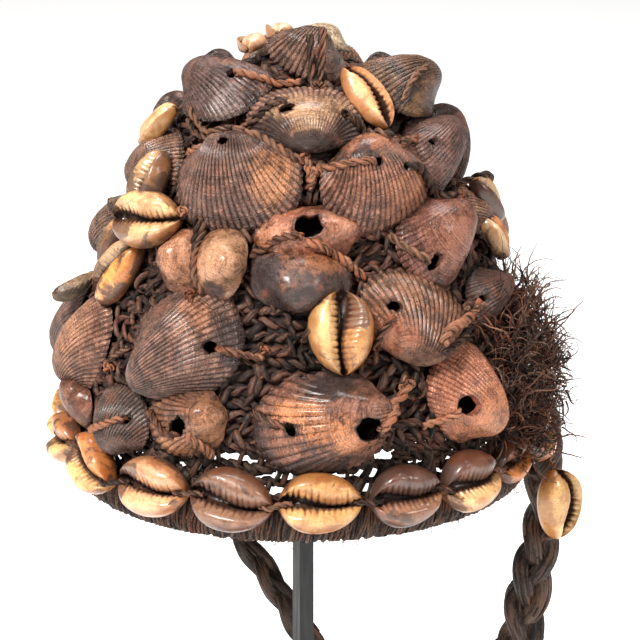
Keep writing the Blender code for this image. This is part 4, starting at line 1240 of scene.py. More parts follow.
# Rubbed and stained places, from the margin's middle in shares of the half sizes.
Patch = namedtuple("Patch", "valve kind across along wide tall")
PATCHES = [
    Patch("valve_crown_left", "smooth", 0.5, 0.45, 0.7, 0.7),
    Patch("valve_crown_left", "worn", -0.55, -0.6, 0.35, 0.5),
    Patch("valve_crown_front", "worn", 0.0, 0.1, 0.78, 0.5),
    Patch("valve_crown_front", "worn", 0.05, 0.6, 0.3, 0.35),
    Patch("valve_crown_front", "smooth", 0.0, 0.1, 0.45, 0.3),
    Patch("valve_crown_front", "stain", 0.0, 1.15, 1.0, 0.5),
    Patch("valve_crown_front", "stain", -0.75, 0.55, 0.42, 0.4),
    Patch("valve_crown_front", "stain", 0.75, 0.5, 0.42, 0.4),
    Patch("valve_crown_top", "worn", 0.5, 0.7, 0.6, 0.8),
    Patch("valve_crown_top", "smooth", 0.7, 0.4, 0.5, 0.9),
    Patch("valve_crown_right", "smooth", 0.8, 0.3, 0.5, 0.7),
    Patch("valve_crown_right", "worn", 0.85, -0.1, 0.25, 0.35),
    Patch("valve_crown_right", "stain", 0.6, -0.4, 0.25, 0.3),
    Patch("valve_front_left", "worn", 0.65, 0.1, 0.3, 0.6),
    Patch("valve_front_right", "worn", -0.13, 0.85, 0.6, 0.4),
    Patch("valve_front_right", "worn", 0.25, -0.25, 0.5, 0.4),
    Patch("valve_front_right", "smooth", -0.1, 0.95, 0.6, 0.3),
    Patch("valve_front_right", "stain", -0.35, 0.75, 0.35, 0.25),
    Patch("valve_low_front", "worn", -0.35, -0.3, 0.3, 0.35),
    Patch("valve_low_front", "worn", 0.0, 0.05, 0.32, 0.35),
    Patch("valve_low_front", "worn", 0.25, 0.45, 0.35, 0.35),
    Patch("valve_low_front", "smooth", -0.55, 0.6, 0.5, 0.5),
    Patch("valve_low_front", "smooth", 0.3, 0.55, 0.5, 0.35),
    Patch("valve_low_front", "stain", -0.8, 0.3, 0.3, 0.6),
    Patch("valve_low_front", "stain", 0.85, -0.3, 0.35, 0.8),
    Patch("valve_low_front", "stain", 0.2, -0.95, 0.6, 0.2),
    Patch("valve_low_right", "worn", 0.1, 0.5, 0.7, 0.6),
    Patch("valve_low_right", "smooth", 0.6, 0.6, 0.5, 0.6),
    Patch("valve_low_left", "worn", 0.3, -0.4, 0.35, 0.3),
    Patch("valve_low_left", "stain", -0.5, -0.8, 0.6, 0.3),
    Patch("valve_smooth_front", "worn", -0.35, -0.35, 0.55, 0.45),
    Patch("valve_smooth_front", "stain", 0.75, 0.0, 0.4, 0.7),
    Patch("valve_smooth_front", "stain", 0.0, 0.9, 0.9, 0.4),
    Patch("valve_broken_upper", "worn", 0.2, -0.6, 0.5, 0.4),
    Patch("valve_broken_upper", "worn", -0.1, 0.7, 0.5, 0.4),
    Patch("valve_left_fine", "worn", -0.5, 0.8, 0.6, 0.4),
    Patch("valve_left_fine", "smooth", -0.5, 0.9, 0.6, 0.35),
    Patch("valve_low_broken", "worn", 0.2, 0.85, 0.7, 0.35),
    Patch("valve_low_broken", "smooth", 0.2, 0.85, 0.9, 0.45),
    Patch("valve_low_broken", "worn", 0.6, -0.2, 0.4, 0.5),
    Patch("valve_fan", "smooth", 0.45, 0.8, 0.35, 0.4),
    Patch("valve_fan", "worn", 0.4, 0.7, 0.35, 0.4),
    Patch("nut_right", "worn", -0.1, 0.3, 0.85, 0.9),
    Patch("nut_right", "stain", 0.75, 0.2, 0.25, 0.5),
    Patch("nut_left", "worn", 0.0, 0.0, 0.8, 0.8),
    Patch("valve_right_mid", "worn", 0.1, 0.1, 0.6, 0.7),
    Patch("valve_right_mid", "smooth", 0.3, 0.2, 0.7, 0.8),
    Patch("valve_left_edge", "worn", 0.0, 0.2, 0.6, 0.7),
    Patch("valve_crown_peak", "worn", 0.0, 0.0, 0.9, 0.9),
    Patch("valve_crown_peak", "smooth", 0.0, 0.0, 0.9, 0.9),
]

# Holes drilled for twine or broken through: sizes in millimetres, raggedness a share.
Hole = namedtuple("Hole", "valve across along wide tall turn ragged")
HOLES = [
    Hole("valve_fan", 0.56, 0.05, 4.0, 3.4, 0, 0.12),
    Hole("valve_crown_left", 0.11, -0.33, 3.6, 3.8, 0, 0.2),
    Hole("valve_crown_front", 0.35, 0.1, 4.6, 3.4, 0, 0.25),
    Hole("valve_crown_front", -0.66, 0.2, 3.0, 3.6, 0, 0.15),
    Hole("valve_front_left", -0.05, 0.82, 3.4, 2.6, 0, 0.15),
    Hole("valve_front_right", -0.14, 0.46, 2.8, 3.0, 0, 0.15),
    Hole("valve_front_right", 0.3, 0.1, 2.6, 2.4, 0, 0.1),
    Hole("valve_right_dark", -0.45, -0.18, 3.0, 2.6, 0, 0.1),
    Hole("valve_low_left", -0.36, -0.48, 4.2, 4.4, 20, 0.18),
    Hole("valve_low_front", -0.07, -0.46, 4.6, 3.2, 10, 0.16),
    Hole("valve_low_front", 0.15, 0.68, 9.0, 8.0, 20, 0.22),
    Hole("valve_low_right", 0.47, -0.03, 5.6, 7.0, 15, 0.1),
    Hole("valve_right_mid", 0.1, -0.6, 3.4, 5.6, 30, 0.2),
    Hole("valve_broken_upper", -0.09, 0.08, 7.0, 9.5, 20, 0.25),
    Hole("valve_left_fine", -0.58, -0.1, 3.4, 3.0, 0, 0.1),
    Hole("valve_low_broken", 0.1, 0.15, 5.5, 8.0, 40, 0.15),
    Hole("valve_right_small", -0.2, -0.6, 3.0, 3.2, 0, 0.1),
]


def shell_material(name, look, ribbed):
    """Ribs lighter than the grooves that hold the grime, rubbed places, a greasy gloss, and a painted
    highlight on the highest rib crests.
    """
    made = Surface(name)
    rib = made.attribute("rib")
    age = made.attribute("age")
    crest, groove, worn = srgb(*look.crest), srgb(*look.groove), srgb(*look.worn)
    wander = made.noise(75.0, 4.0, rough=0.6, warp=0.5)
    mottle = made.noise(270.0, 5.0, rough=0.7, warp=0.3)
    grain = made.noise(800.0, 4.0, rough=0.8)
    fine = made.noise(2600.0, 2.0)
    speck = made.math("SUBTRACT", grain, 0.5)
    beads = made.lines(age, 150.0, 1.0)
    bands = made.lines(age, 22.0, 3.0)
    shade = made.add(made.times(wander, 0.6), made.times(mottle, 0.4))
    colour = made.mix(made.span(shade, 0.4, 0.58), tuple(0.45 * c for c in crest), crest)
    pale = (1.55 * crest[0] + 0.07, 1.6 * crest[1] + 0.06, 1.65 * crest[2] + 0.06)
    bright = made.add(mottle, made.times(speck, 0.5))
    colour = made.mix(made.span(bright, 0.5, 0.66, 0.0, 0.6), colour, pale)
    rust_patch = made.span(made.noise(130.0, 4.0, rough=0.7), 0.5, 0.62, 0.0, 0.6)
    rusty = made.times(rust_patch, made.span(mottle, 0.4, 0.55))
    colour = made.mix(rusty, colour, srgb(150, 94, 64))
    rubbed = made.add(made.attribute("worn"), made.swing(mottle, 1.8))
    rubbed = made.add(rubbed, made.times(speck, 1.8))
    rubbed = made.span(rubbed, 0.15, 1.0)
    worn_tone = made.mix(made.span(bright, 0.4, 0.54), (0.56 * worn[0], 0.48 * worn[1], 0.44 * worn[2]), worn)
    worn_bright = tuple(min(1, 1.35 * c + 0.04) for c in worn)
    worn_tone = made.mix(made.span(wander, 0.48, 0.6, 0.0, 0.7), worn_tone, worn_bright)
    colour = made.mix(rubbed, colour, worn_tone)
    plain = made.span(made.attribute("smooth"), 0.2, 1.0, 1.0, 0.3) if ribbed else 0.4
    colour = made.mix(made.times(made.span(bands, 0.52, 0.64, 0.0, 0.45), plain), colour, groove)
    if ribbed:
        rise = made.add(rib, made.times(speck, 0.9))
        rise = made.add(rise, made.swing(beads, 0.9))
        colour = made.mix(made.span(rise, -0.1, 0.45, 0.95, 0.0), colour, groove)
        # Painted highlight: the rib crests turn pale where they stand highest.
        painted_crest_highlight = made.times(made.span(rise, 0.8, 1.15), made.span(mottle, 0.42, 0.6, 0.1, 0.6))
        colour = made.mix(painted_crest_highlight, colour, pale)
    stained = made.add(made.attribute("stain"), made.swing(made.noise(170.0, 4.0, rough=0.65), 2.2))
    colour = made.mix(made.span(stained, 0.4, 0.9, 0.0, 0.85), colour, srgb(58, 44, 42))
    spots = made.add(made.cells(560.0), made.times(made.noise(150.0, 3.0), 0.9))
    edge = 0.42 if ribbed else 0.5
    pits = made.span(spots, edge, edge + 0.08, 1.0, 0.0)
    pits = made.times(pits, made.span(mottle, 0.42, 0.55))
    colour = made.mix(made.times(pits, 0.85), colour, srgb(34, 22, 18))
    colour = made.mix(made.span(fine, 0.38, 0.6, 0.5, 0.0), colour, tuple(0.5 * c for c in groove))
    colour = made.contrast(colour, 1.15, 1.3)
    # Painted shade on the inner face and the margin's underside.
    colour = made.mix(made.attribute("inside"), colour, srgb(60, 40, 32))
    made.set("Base Color", colour)
    polish = made.add(made.times(grain, 0.6), made.times(mottle, 0.5))
    made.set("Roughness", made.span(polish, 0.48, 0.62, look.dullness - 0.16, look.dullness + 0.14))
    made.set("Specular IOR Level", 0.5)
    made.set("Coat Weight", 0.25)
    made.set("Coat Roughness", 0.18)
    growth = made.times(beads, made.span(rib, 0.0, 0.6, 0.25, 1.0))
    made.bump(growth, 0.9 * MM if ribbed else 0.25 * MM, 1.0)
    made.bump(bands, 0.6 * MM if ribbed else 0.35 * MM, 0.6)
    made.bump(grain, 0.45 * MM, 0.8)
    made.bump(mottle, 0.5 * MM, 0.35)
    made.bump(fine, 0.1 * MM, 0.5)
    made.bump(made.math("SUBTRACT", 1.0, pits), 0.3 * MM, 0.8)
    return made.material


def finish_valve(row, look, holes, matrix):
    """Makes one valve, pressed down under the shells over it, with its holes."""
    levels = LEVELS if abs(row.azimuth) <= FRONT_TURN else FAR_LEVELS
    points, faces, marks = valve_points(row, look, levels)
    world_points = tuck(moved(points, matrix), matrix)
    mesh = mesh_with(row.name, world_points, faces, marks)
    thing = bpy.data.objects.new(row.name + "_shell", mesh)
    scene.collection.objects.link(thing)
    if holes:
        punch(thing, matrix, holes, row)
    thing.data.materials.clear()
    thing.data.materials.append(shell_material(row.name, look, look.ribs > 0))
    on_root(thing, "smooth_shell" if row.name.startswith("nut") else "ark_shell", row.name)


def valve_outline(row, matrix):
    """Notes where a valve lies, for the shells and cords under it."""
    ages = np.linspace(0, 0.9, 6)
    grid = valve_grid(row.length * MM, row.tall * MM, row.bulge * MM, row.skew, 16, ages)
    outlines.append(Outline(moved(grid.reshape(-1, 3), matrix)))


for row in VALVES:
    place = on_netting(row.azimuth, row.height, row.turn, row.lift, row.lean, row.side)
    finish_valve(row, LOOKS[row.name], [hole for hole in HOLES if hole.valve == row.name], place)
    valve_outline(row, place)


# ---------------------------------------------------------------- shells round the back
# The same kinds of half shell, tied to the netting in rows behind. Each row is one
# piece, with every other shell turned round.

BackRow = namedtuple("BackRow", "name height first last count length tall bulge")
BACK_ROWS = [
    BackRow("back_shells_low_right", 43, 116, 172, 3, 31, 27, 11),
    BackRow("back_shells_low_left", 43, 200, 256, 3, 31, 27, 11),
    BackRow("back_shells_mid_right", 74, 112, 172, 3, 28, 25, 11),
    BackRow("back_shells_mid_left", 74, 199, 251, 3, 27, 24, 10),
    BackRow("back_shells_high", 102, 122, 238, 4, 26, 22, 10),
    BackRow("back_shells_crown", 122, 160, 198, 2, 21, 16, 8),
]
BACK_LIFT = 3.0
BACK_LEVELS = 12
BACK_SAMPLES = 4
BACK_LOOKS = [
    Look(42, 0.45, 0.12, (148, 112, 92), (56, 40, 36), (170, 120, 84)),
    Look(46, 0.3, 0.12, (130, 96, 82), (62, 44, 40), (150, 106, 84)),
    Look(38, 0.55, 0.12, (168, 122, 92), (62, 42, 34), (180, 126, 86)),
]
for number, row in enumerate(BACK_ROWS):
    step = (row.last - row.first) / (row.count - 1)
    parts = []
    look = BACK_LOOKS[number % len(BACK_LOOKS)]
    for i in range(row.count):
        azimuth = row.first + step * i
        place = on_netting(azimuth, row.height, 0 if i % 2 else 170, BACK_LIFT)
        name = f"{row.name}_{i}"
        valve = Valve(name, azimuth, row.height, 0, row.length, row.tall, row.bulge, 0)
        points, faces, marks = valve_points(valve, look, BACK_LEVELS, BACK_SAMPLES)
        parts.append((tuck(moved(points, place), place), faces, marks))
        valve_outline(valve, place)
    material = shell_material(row.name, look, ribbed=True)
    on_root(new_piece(row.name + "_shells", joined(row.name, parts), material), "ark_shell", row.name)


# ---------------------------------------------------------------- netting
# Rows of thick two-ply cord lie round the cap, each knotted to the next by short loops.
# Every ply is a bundle of split fibre that swells where it comes to the outside.

CORD = fibre_material("knotted_cord", srgb(25, 17, 14), srgb(100, 69, 56), srgb(108, 66, 50), 0.05)
ROW_STEP = 4.1 * MM
ROW_RADIUS = 1.9 * MM
ROW_PITCH = 8.6 * MM
PLY_STEP = 1.7 * MM
TIE_STEP = 6.2 * MM
COVER_LIFT = 1.6
ROW_SINK = 2.4 * MM
SMALLEST_ROW = 7 * MM
SMALLEST_TIED_ROW = 14 * MM

rng = np.random.default_rng(21)
profile = np.array([(radius, height) for height, radius in NETTING]) * MM
legs = np.linalg.norm(np.diff(profile, axis=0), axis=1)
reach = np.concatenate([[0], np.cumsum(legs)])
row_count = int(reach[-1] / ROW_STEP)
goals = 0.5 * MM + np.arange(row_count) * ROW_STEP
row_radius = np.interp(goals, reach, profile[:, 0])
row_height = np.interp(goals, reach, profile[:, 1]) + RIM_HEIGHT


def covered(points):
    """Which of the points lie under a shell."""
    under = np.zeros(len(points), dtype=bool)
    for outline in outlines:
        room = outline.offsets[None, :] - points @ outline.normals.T
        under |= (room > 0).all(axis=1)
    return under


def leafy_row(bundle, radius, height, pitch, thick):
    """One row of two-ply cord round the hat, its plies swelling outwards."""
    count = max(20, int(2 * np.pi * radius / PLY_STEP))
    turn = 2 * np.pi * np.arange(count) / count + rng.uniform(0, 6)
    along = turn * radius
    bob = 0.5 * MM * np.sin(along / (6.3 * MM) + rng.uniform(0, 6)) + rng.normal(0, 0.15 * MM, count)
    slope = net_slope((height - RIM_HEIGHT) / MM)
    wide = radius - bob * math.sin(slope) + 0.3 * MM
    high = height + bob * math.cos(slope)
    centre = np.stack([wide * np.sin(turn), -wide * np.cos(turn), high], axis=1)
    rise, run, level = math.sin(slope), math.cos(slope), 0 * turn
    out = np.stack([run * np.sin(turn), -run * np.cos(turn), rise + level], axis=1)
    up = np.stack([-rise * np.sin(turn), rise * np.cos(turn), run + level], axis=1)
    low = covered(centre + out * COVER_LIFT * MM)
    low = np.convolve(np.concatenate([low[-2:], low, low[:2]]).astype(float), np.ones(5) / 5, "valid")
    centre = centre - out * (ROW_SINK * low)[:, None]
    whole = max(2, round(2 * np.pi * radius / abs(pitch)))
    lag = 0.5 * np.sin(turn * 7 + rng.uniform(0, 6))
    for ply in range(2):
        angle = math.copysign(1, pitch) * (whole * (turn - turn[0]) + lag) + np.pi * ply
        facing = np.cos(angle)
        swell = thick * (0.5 + 0.13 * facing + rng.normal(0, 0.035, count))
        path = centre + out * (facing * thick * 0.5)[:, None] + up * (np.sin(angle) * thick * 0.55)[:, None]
        ribs = 1 + rng.uniform(-0.22, 0.22, 5)
        add_tube(bundle, path, swell, 5, rng.uniform(0.1, 0.9), ribs, closed=True)


netting = Bundle()
for number, (radius, height) in enumerate(zip(row_radius, row_height)):
    if radius > SMALLEST_ROW:
        pitch = ROW_PITCH * rng.uniform(0.85, 1.15) * (1 if number % 3 else -1)
        leafy_row(netting, radius, height, pitch, ROW_RADIUS * rng.uniform(0.92, 1.08))
on_root(netting.piece("netting_rows", CORD), "knotted_fibre")

ties = Bundle()
for number in range(row_count - 1):
    radius, height = row_radius[number], row_height[number]
    above_radius, above_height = row_radius[number + 1], row_height[number + 1]
    if above_radius < SMALLEST_TIED_ROW:
        continue
    slope = net_slope((height - RIM_HEIGHT) / MM)
    for turn in np.arange(0, 2 * np.pi, TIE_STEP / radius):
        turn = turn + rng.uniform(-0.45, 0.45) * TIE_STEP / radius
        middle = np.array([[radius * math.sin(turn), -radius * math.cos(turn), height]])
        outwards = np.array([math.sin(turn), -math.cos(turn), 0.4])
        if rng.uniform() < 0.3 or covered(middle + outwards * 2 * MM)[0]:
            continue
        lean = rng.choice((-1, 1)) * rng.uniform(0.5, 3.6) * MM / radius
        thick = rng.uniform(0.75, 1.3)
        bow = rng.uniform(1.7, 2.6)
        loop = [(-0.35, 0.6), (-0.1, 0.85 * bow), (0.25, bow)]
        loop += [(0.6, 0.95 * bow), (0.9, 0.5 * bow), (1.05, 0.3)]
        stops = []
        for share, out in loop:
            wide = radius + (above_radius - radius) * share + out * MM * math.cos(slope)
            high = height + (above_height - height) * share + out * MM * math.sin(slope)
            angle = turn + lean * share
            stops.append((wide * math.sin(angle), -wide * math.cos(angle), high))
        path = smooth_path(stops, 1.3 * MM)
        taper = np.sin(np.linspace(0.25, np.pi - 0.25, len(path))) ** 0.4 * thick * MM
        add_tube(ties, path, taper, 5, rng.uniform(0, 0.8), 1 + rng.uniform(-0.3, 0.3, 5))
on_root(ties.piece("netting_knots", CORD), "knotted_fibre")


# ---------------------------------------------------------------- stray ends of the netting
# Split ends and thin spare cords lie this way and that over the netting, held at
# their middles and free at both ends.


def spot(azimuth, height, lift):
    """A point lift millimetres over the netting, in metres."""
    return np.array(on_netting(azimuth, height, lift=lift).translation)


WISPS = 430
WISP_HEIGHTS = (31, 122)
WISP_LENGTHS = (3, 8)
WISP_LIFT = 2.9
WISP_THICKNESSES = (0.2, 0.3, 0.5)
wisps = Bundle()
for _ in range(WISPS):
    azimuth, height = rng.uniform(0, 360), rng.uniform(*WISP_HEIGHTS)
    if abs((azimuth + 180) % 360 - 180) > 100 and rng.uniform() < 0.5:
        continue
    way = rng.normal(0, 1) if rng.uniform() < 0.6 else rng.uniform(-3, 3)
    length = rng.uniform(*WISP_LENGTHS)
    stops = []
    for share in np.linspace(-0.5, 0.5, 6):
        bend = way + 1.2 * share * rng.uniform(-1, 1)
        step = np.array([math.cos(bend), math.sin(bend)]) * share * length
        round_it = math.degrees(step[0] / net_radius(height))
        lift = WISP_LIFT + rng.uniform(-0.5, 0.7) - 8 * share**2
        stops.append(spot(azimuth + round_it, height + step[1], lift))
    stops = np.array(stops)
    if covered(stops).any():
        continue
    path = smooth_path(stops, 1.4 * MM)
    add_tube(wisps, path, rng.choice(WISP_THICKNESSES) * MM, 4, rng.uniform(0.2, 1))
on_root(wisps.piece("netting_wisps", CORD), "knotted_fibre")


# ---------------------------------------------------------------- openwork band
# A band of rails of dark cord between netting and rim, crossed by slanted cords that
# leave small uneven gaps. More cord fills it at the front right, the left and behind.

DARK_CORD = fibre_material("dark_cord", srgb(26, 17, 14), srgb(88, 64, 52), srgb(100, 58, 42), 0.02)
rng = np.random.default_rng(5)
# Heights and radii in millimetres of the rails' cords; fills run between two azimuths.
BAND_RADIUS = 69.3
FILLS = ((24, 84), (-84, -31), (95, 300))
FILL_RAILS = ((16.4, 1.15), (21.0, 1.3), (26.0, 1.5))
UPRIGHT_ROWS = ((11.5, 19.0), (17.5, 24.0), (22.5, 30.5))
RAILS = ((14.2, 1.5), (18.6, 1.7), (23.4, 1.9), (28.6, 2.3))
UPRIGHTS = 92

band = Bundle()
turn = np.linspace(0, 2 * np.pi, 290, endpoint=False)
for height, thick in RAILS:
    wide = BAND_RADIUS * MM + rng.normal(0, 0.12 * MM, len(turn))
    high = RIM_HEIGHT + height * MM + 0.55 * MM * np.sin(turn * 31 + height)
    high = high + 0.5 * MM * np.sin(turn * 12 + 1)
    path = np.stack([wide * np.sin(turn), -wide * np.cos(turn), high], axis=1)
    thickness = thick * MM * (1 + 0.2 * np.sin(turn * 17 + height))
    add_rope(band, path, thickness, 2, 7.5 * MM, 5, rng, closed=True)
for first, last in FILLS:
    for height, thick in FILL_RAILS:
        angle = np.radians(np.arange(first, last, 1.1))
        wide = (BAND_RADIUS + 0.5) * MM + 0.4 * MM * np.sin(angle * 40 + height)
        high = RIM_HEIGHT + height * MM + 0.8 * MM * np.sin(angle * 23 + 2 * height)
        path = np.stack([wide * np.sin(angle), -wide * np.cos(angle), high], axis=1)
        add_rope(band, path, thick * MM, 2, 6 * MM, 5, rng)
for number in range(UPRIGHTS):
    for low, high in UPRIGHT_ROWS:
        azimuth = 360 * (number + rng.uniform(-0.42, 0.42)) / UPRIGHTS
        lean = rng.uniform(-1.2, 4.2)
        stops = []
        for share in (0, 0.3, 0.6, 1):
            angle = math.radians(azimuth + lean * share)
            wide = (BAND_RADIUS + 1.1 * math.sin(3 * share)) * MM
            level = RIM_HEIGHT + (low + (high - low) * share) * MM
            stops.append((wide * math.sin(angle), -wide * math.cos(angle), level))
        thick = rng.choice((0.7, 1.0, 1.3, 2.1)) * MM
        tone = rng.uniform(0, 0.8)
        ribs = 1 + rng.uniform(-0.25, 0.25, 5)
        add_tube(band, smooth_path(stops, 1.6 * MM), thick, 5, tone, ribs)
on_root(band.piece("openwork_cords", DARK_CORD), "knotted_fibre", "openwork_band")


# ---------------------------------------------------------------- rim binding
# A strip of fibre bound round and round the rim, strand beside strand, each strand at
# a slightly different slant and height.

BINDING = fibre_material("rim_binding", srgb(26, 18, 15), srgb(104, 78, 62), srgb(118, 66, 44), 0.03)
rng = np.random.default_rng(9)
RIM_RADIUS = 69.3 * MM
RIM_HALF_WIDE = 4.4 * MM
RIM_HALF_TALL = 6.3 * MM
WRAPS = 520

binding = Bundle()
section = 2 * np.pi * np.arange(12) / 12
for number in range(WRAPS):
    base = 2 * np.pi * (number + rng.uniform(-0.4, 0.4)) / WRAPS
    slant = rng.normal(0.014, 0.012)
    proud = rng.uniform(0.05, 0.4) * MM
    wide = RIM_RADIUS + (RIM_HALF_WIDE + proud) * np.cos(section)
    high = RIM_HEIGHT + RIM_HALF_TALL + (RIM_HALF_TALL + proud) * np.sin(section)
    turn = base + slant * np.sin(section) + 0.004 * np.sin(2 * section + number)
    path = np.stack([wide * np.sin(turn), -wide * np.cos(turn), high], axis=1)
    add_tube(binding, path, rng.uniform(0.38, 0.62) * MM, 4, rng.uniform(0, 1), closed=True)
on_root(binding.piece("rim_binding", BINDING), "knotted_fibre")


# ---------------------------------------------------------------- twine through the shells
# Each tie comes out of a hole or from under a shell, lies over what is below it, and
# goes in again. Places are azimuth and height; the depth comes from the shells.

RUST_TWINE = fibre_material("rust_twine", srgb(58, 35, 25), srgb(152, 102, 76), srgb(150, 86, 56), 0.06)
cover_points, cover_faces = [], []
for thing in list(scene.objects):
    if thing.name.endswith(("_shell", "_glazed", "_shells")) and thing.name != "strap_cowrie_glazed":
        start = len(cover_points)
        cover_points += [tuple(v.co) for v in thing.data.vertices]
        cover_faces += [[i + start for i in face.vertices] for face in thing.data.polygons]
COVER = BVHTree.FromPolygons(cover_points, cover_faces)


LEAST_LIFT = 2.6
RAY = 30
DEGREE = 0.9


def drape(stops, radius, ends_in=(False, False)):
    """A path over shells and netting through places given as azimuth and height."""
    flat = smooth_path([(a * DEGREE, h, 0) for a, h in stops], 0.8)
    lifts = []
    for a, h, _ in flat:
        place = on_netting(a / DEGREE, h)
        out = place.to_3x3() @ Vector((0, 0, 1))
        high = place.translation + out * RAY * MM
        hit = COVER.ray_cast(high, -out, RAY * MM)
        lifts.append(max(LEAST_LIFT, RAY - hit[3] / MM) if hit[0] else LEAST_LIFT)
    lifts = np.array(lifts)
    count = len(lifts)
    smooth = lifts.copy()
    for _ in range(3):
        smooth[1:-1] = (smooth[:-2] + 2 * smooth[1:-1] + smooth[2:]) / 4
        smooth = np.maximum(smooth, lifts - 0.6)
    smooth = smooth + radius / MM * 0.75
    dip = np.zeros(count)
    if ends_in[0]:
        dip[:3] = (3.2, 1.6, 0.4)[: min(3, count)]
    if ends_in[1]:
        dip[-3:] = (0.4, 1.6, 3.2)
    path = [spot(a / DEGREE, h, lift - low) for (a, h, _), lift, low in zip(flat, smooth, dip)]
    return smooth_path(path, 0.8 * MM)


Tie = namedtuple("Tie", "kind radius pitch into out_of stops")
TIES = [
    Tie("rust", 1.25, 6, 1, 0, [(-44.5, 125), (-38, 125.3), (-29, 126), (-15, 127), (1, 127.3)]),
    Tie("brown", 1.3, 6, 1, 1, [(-5, 121), (-12, 120.5), (-18, 119), (-24, 117)]),
    Tie("brown", 1.4, 6, 1, 0, [(-23, 115), (-15, 114.4), (-6, 111.5), (0, 109.5)]),
    Tie("rust", 1.1, 5, 1, 1, [(-51, 107.5), (-45, 109), (-41, 110.5)]),
    Tie("brown", 1.2, 9, 0, 0, [(11, 129.5), (10.5, 128), (10, 126), (9.5, 124)]),
    Tie("brown", 0.9, 9, 0, 0, [(28, 130), (16, 128), (13, 124.5)]),
    Tie("brown", 0.9, 9, 0, 0, [(30, 129.8), (17.5, 127.6), (15, 124)]),
    Tie("brown", 1.3, 6, 0, 0, [(-36, 92), (-35, 86), (-33, 82), (-31, 77), (-29, 72)]),
    Tie("brown", 1.2, 6, 0, 0, [(-34, 92), (-33, 86), (-31.5, 81), (-30, 76), (-28, 72)]),
    Tie("brown", 1.5, 7, 1, 0, [(20, 119.5), (25, 118), (30, 115.5), (36, 112)]),
    Tie("rust", 1.3, 7, 1, 0, [(27, 106.5), (21, 107.3), (15, 107.5), (7, 107.5)]),
    Tie("brown", 1.5, 7, 1, 0, [(39, 105), (45, 103), (50, 99), (57, 93)]),
    Tie("rust", 1.5, 6, 1, 0, [(55, 111), (47, 111), (40, 110)]),
    Tie("brown", 1.0, 6, 1, 0, [(75, 121), (62, 121), (53, 119)]),
    Tie("brown", 1.1, 7, 0, 0, [(66, 97), (75, 95.5), (84, 92.5), (90, 89)]),
    Tie("rust", 1.4, 6, 0, 1, [(-15, 83.5), (-8, 87), (-3, 88.5), (1, 88.5)]),
    Tie("rust", 1.5, 6, 1, 0, [(2, 87), (6, 86), (10, 84), (15, 81), (20, 77)]),
    Tie("brown", 1.3, 7, 0, 1, [(31, 88), (34, 84), (37, 81), (41.5, 77.5)]),
    Tie("rust", 1.2, 6, 1, 0, [(25.5, 66), (23, 64), (21, 61), (20.5, 57)]),
    Tie("rust", 1.6, 7, 0, 0, [(35, 56), (38, 59), (46, 60), (54, 60.5), (58, 63)]),
    Tie("brown", 1.3, 7, 0, 0, [(36, 53), (42, 55), (49, 57), (54, 58)]),
    Tie("rust", 1.3, 6, 1, 0, [(-23, 57.6), (-19, 57), (-15, 56.3), (-9, 55.8)]),
    Tie("brown", 0.9, 5, 0, 0, [(-50, 52), (-55, 48), (-57, 45)]),
    Tie("rust", 1.2, 5, 1, 0, [(-44, 33.5), (-49, 30), (-57, 25)]),
    Tie("rust", 1.5, 6, 1, 0, [(-25, 34.5), (-23, 31), (-22, 29), (-21, 26)]),
    Tie("rust", 1.3, 6, 0, 1, [(-37, 37), (-34, 35), (-31, 33), (-28, 32)]),
    Tie("brown", 1.3, 6, 1, 0, [(-1, 36), (-3, 37.5), (-6, 38.5), (-11, 40.5)]),
    Tie("rust", 1.5, 7, 1, 0, [(18, 36), (20, 39), (24, 42), (28, 46)]),
    Tie("rust", 1.3, 7, 1, 0, [(17.5, 33), (20, 34), (25, 35.5), (30, 35)]),
    Tie("rust", 1.2, 6, 1, 0, [(41, 38), (39, 36), (36, 34.5), (31, 33.5)]),
    Tie("brown", 1.2, 6, 1, 0, [(57, 63), (53.5, 63.5), (51, 62)]),
    Tie("brown", 1.1, 6, 0, 0, [(-60, 118), (-48, 115), (-36, 115.5), (-24, 118)]),
    Tie("brown", 1.1, 6, 0, 0, [(-62, 116), (-50, 113.5), (-38, 113.5), (-27, 115)]),
]
ROPES = {"rust": RUST_TWINE, "brown": BROWN_TWINE}

rng = np.random.default_rng(31)
for kind, material in ROPES.items():
    twine = Bundle()
    for tie in TIES:
        if tie.kind != kind:
            continue
        path = drape(tie.stops, tie.radius * MM, ends_in=(tie.into, tie.out_of))
        add_rope(twine, path, tie.radius * MM, 2, tie.pitch * MM, 7, rng)
    on_root(twine.piece(f"twine_{kind}", material), "knotted_fibre")


# ---------------------------------------------------------------- thread of the rim's cowries
# A thin two-ply cord of brown fibre runs through the rim's cowries and strings them
# end to end. It shows between each and the next.

link_cord = Bundle()
for row, after in zip(RIM_COWRIES, RIM_COWRIES[1:] + RIM_COWRIES[:1]):
    here, there = rim_seat(row), rim_seat(after)
    stops = [
        here @ (Vector((0, row.length * 0.33, row.width * 0.22)) * MM),
        here @ (Vector((0, row.length * 0.47, row.width * 0.26)) * MM),
        there @ (Vector((0, -after.length * 0.47, after.width * 0.26)) * MM),
        there @ (Vector((0, -after.length * 0.33, after.width * 0.22)) * MM),
    ]
    path = smooth_path([tuple(stop) for stop in stops], 0.8 * MM)
    add_rope(link_cord, path, 1.0 * MM, 2, 5 * MM, 6, rng)
on_root(link_cord.piece("rim_cowrie_thread", BROWN_TWINE), "knotted_fibre")


# ---------------------------------------------------------------- knots
# Small tight knots of reddish twine where the twines are made fast, and one thicker
# end that hangs at the front.


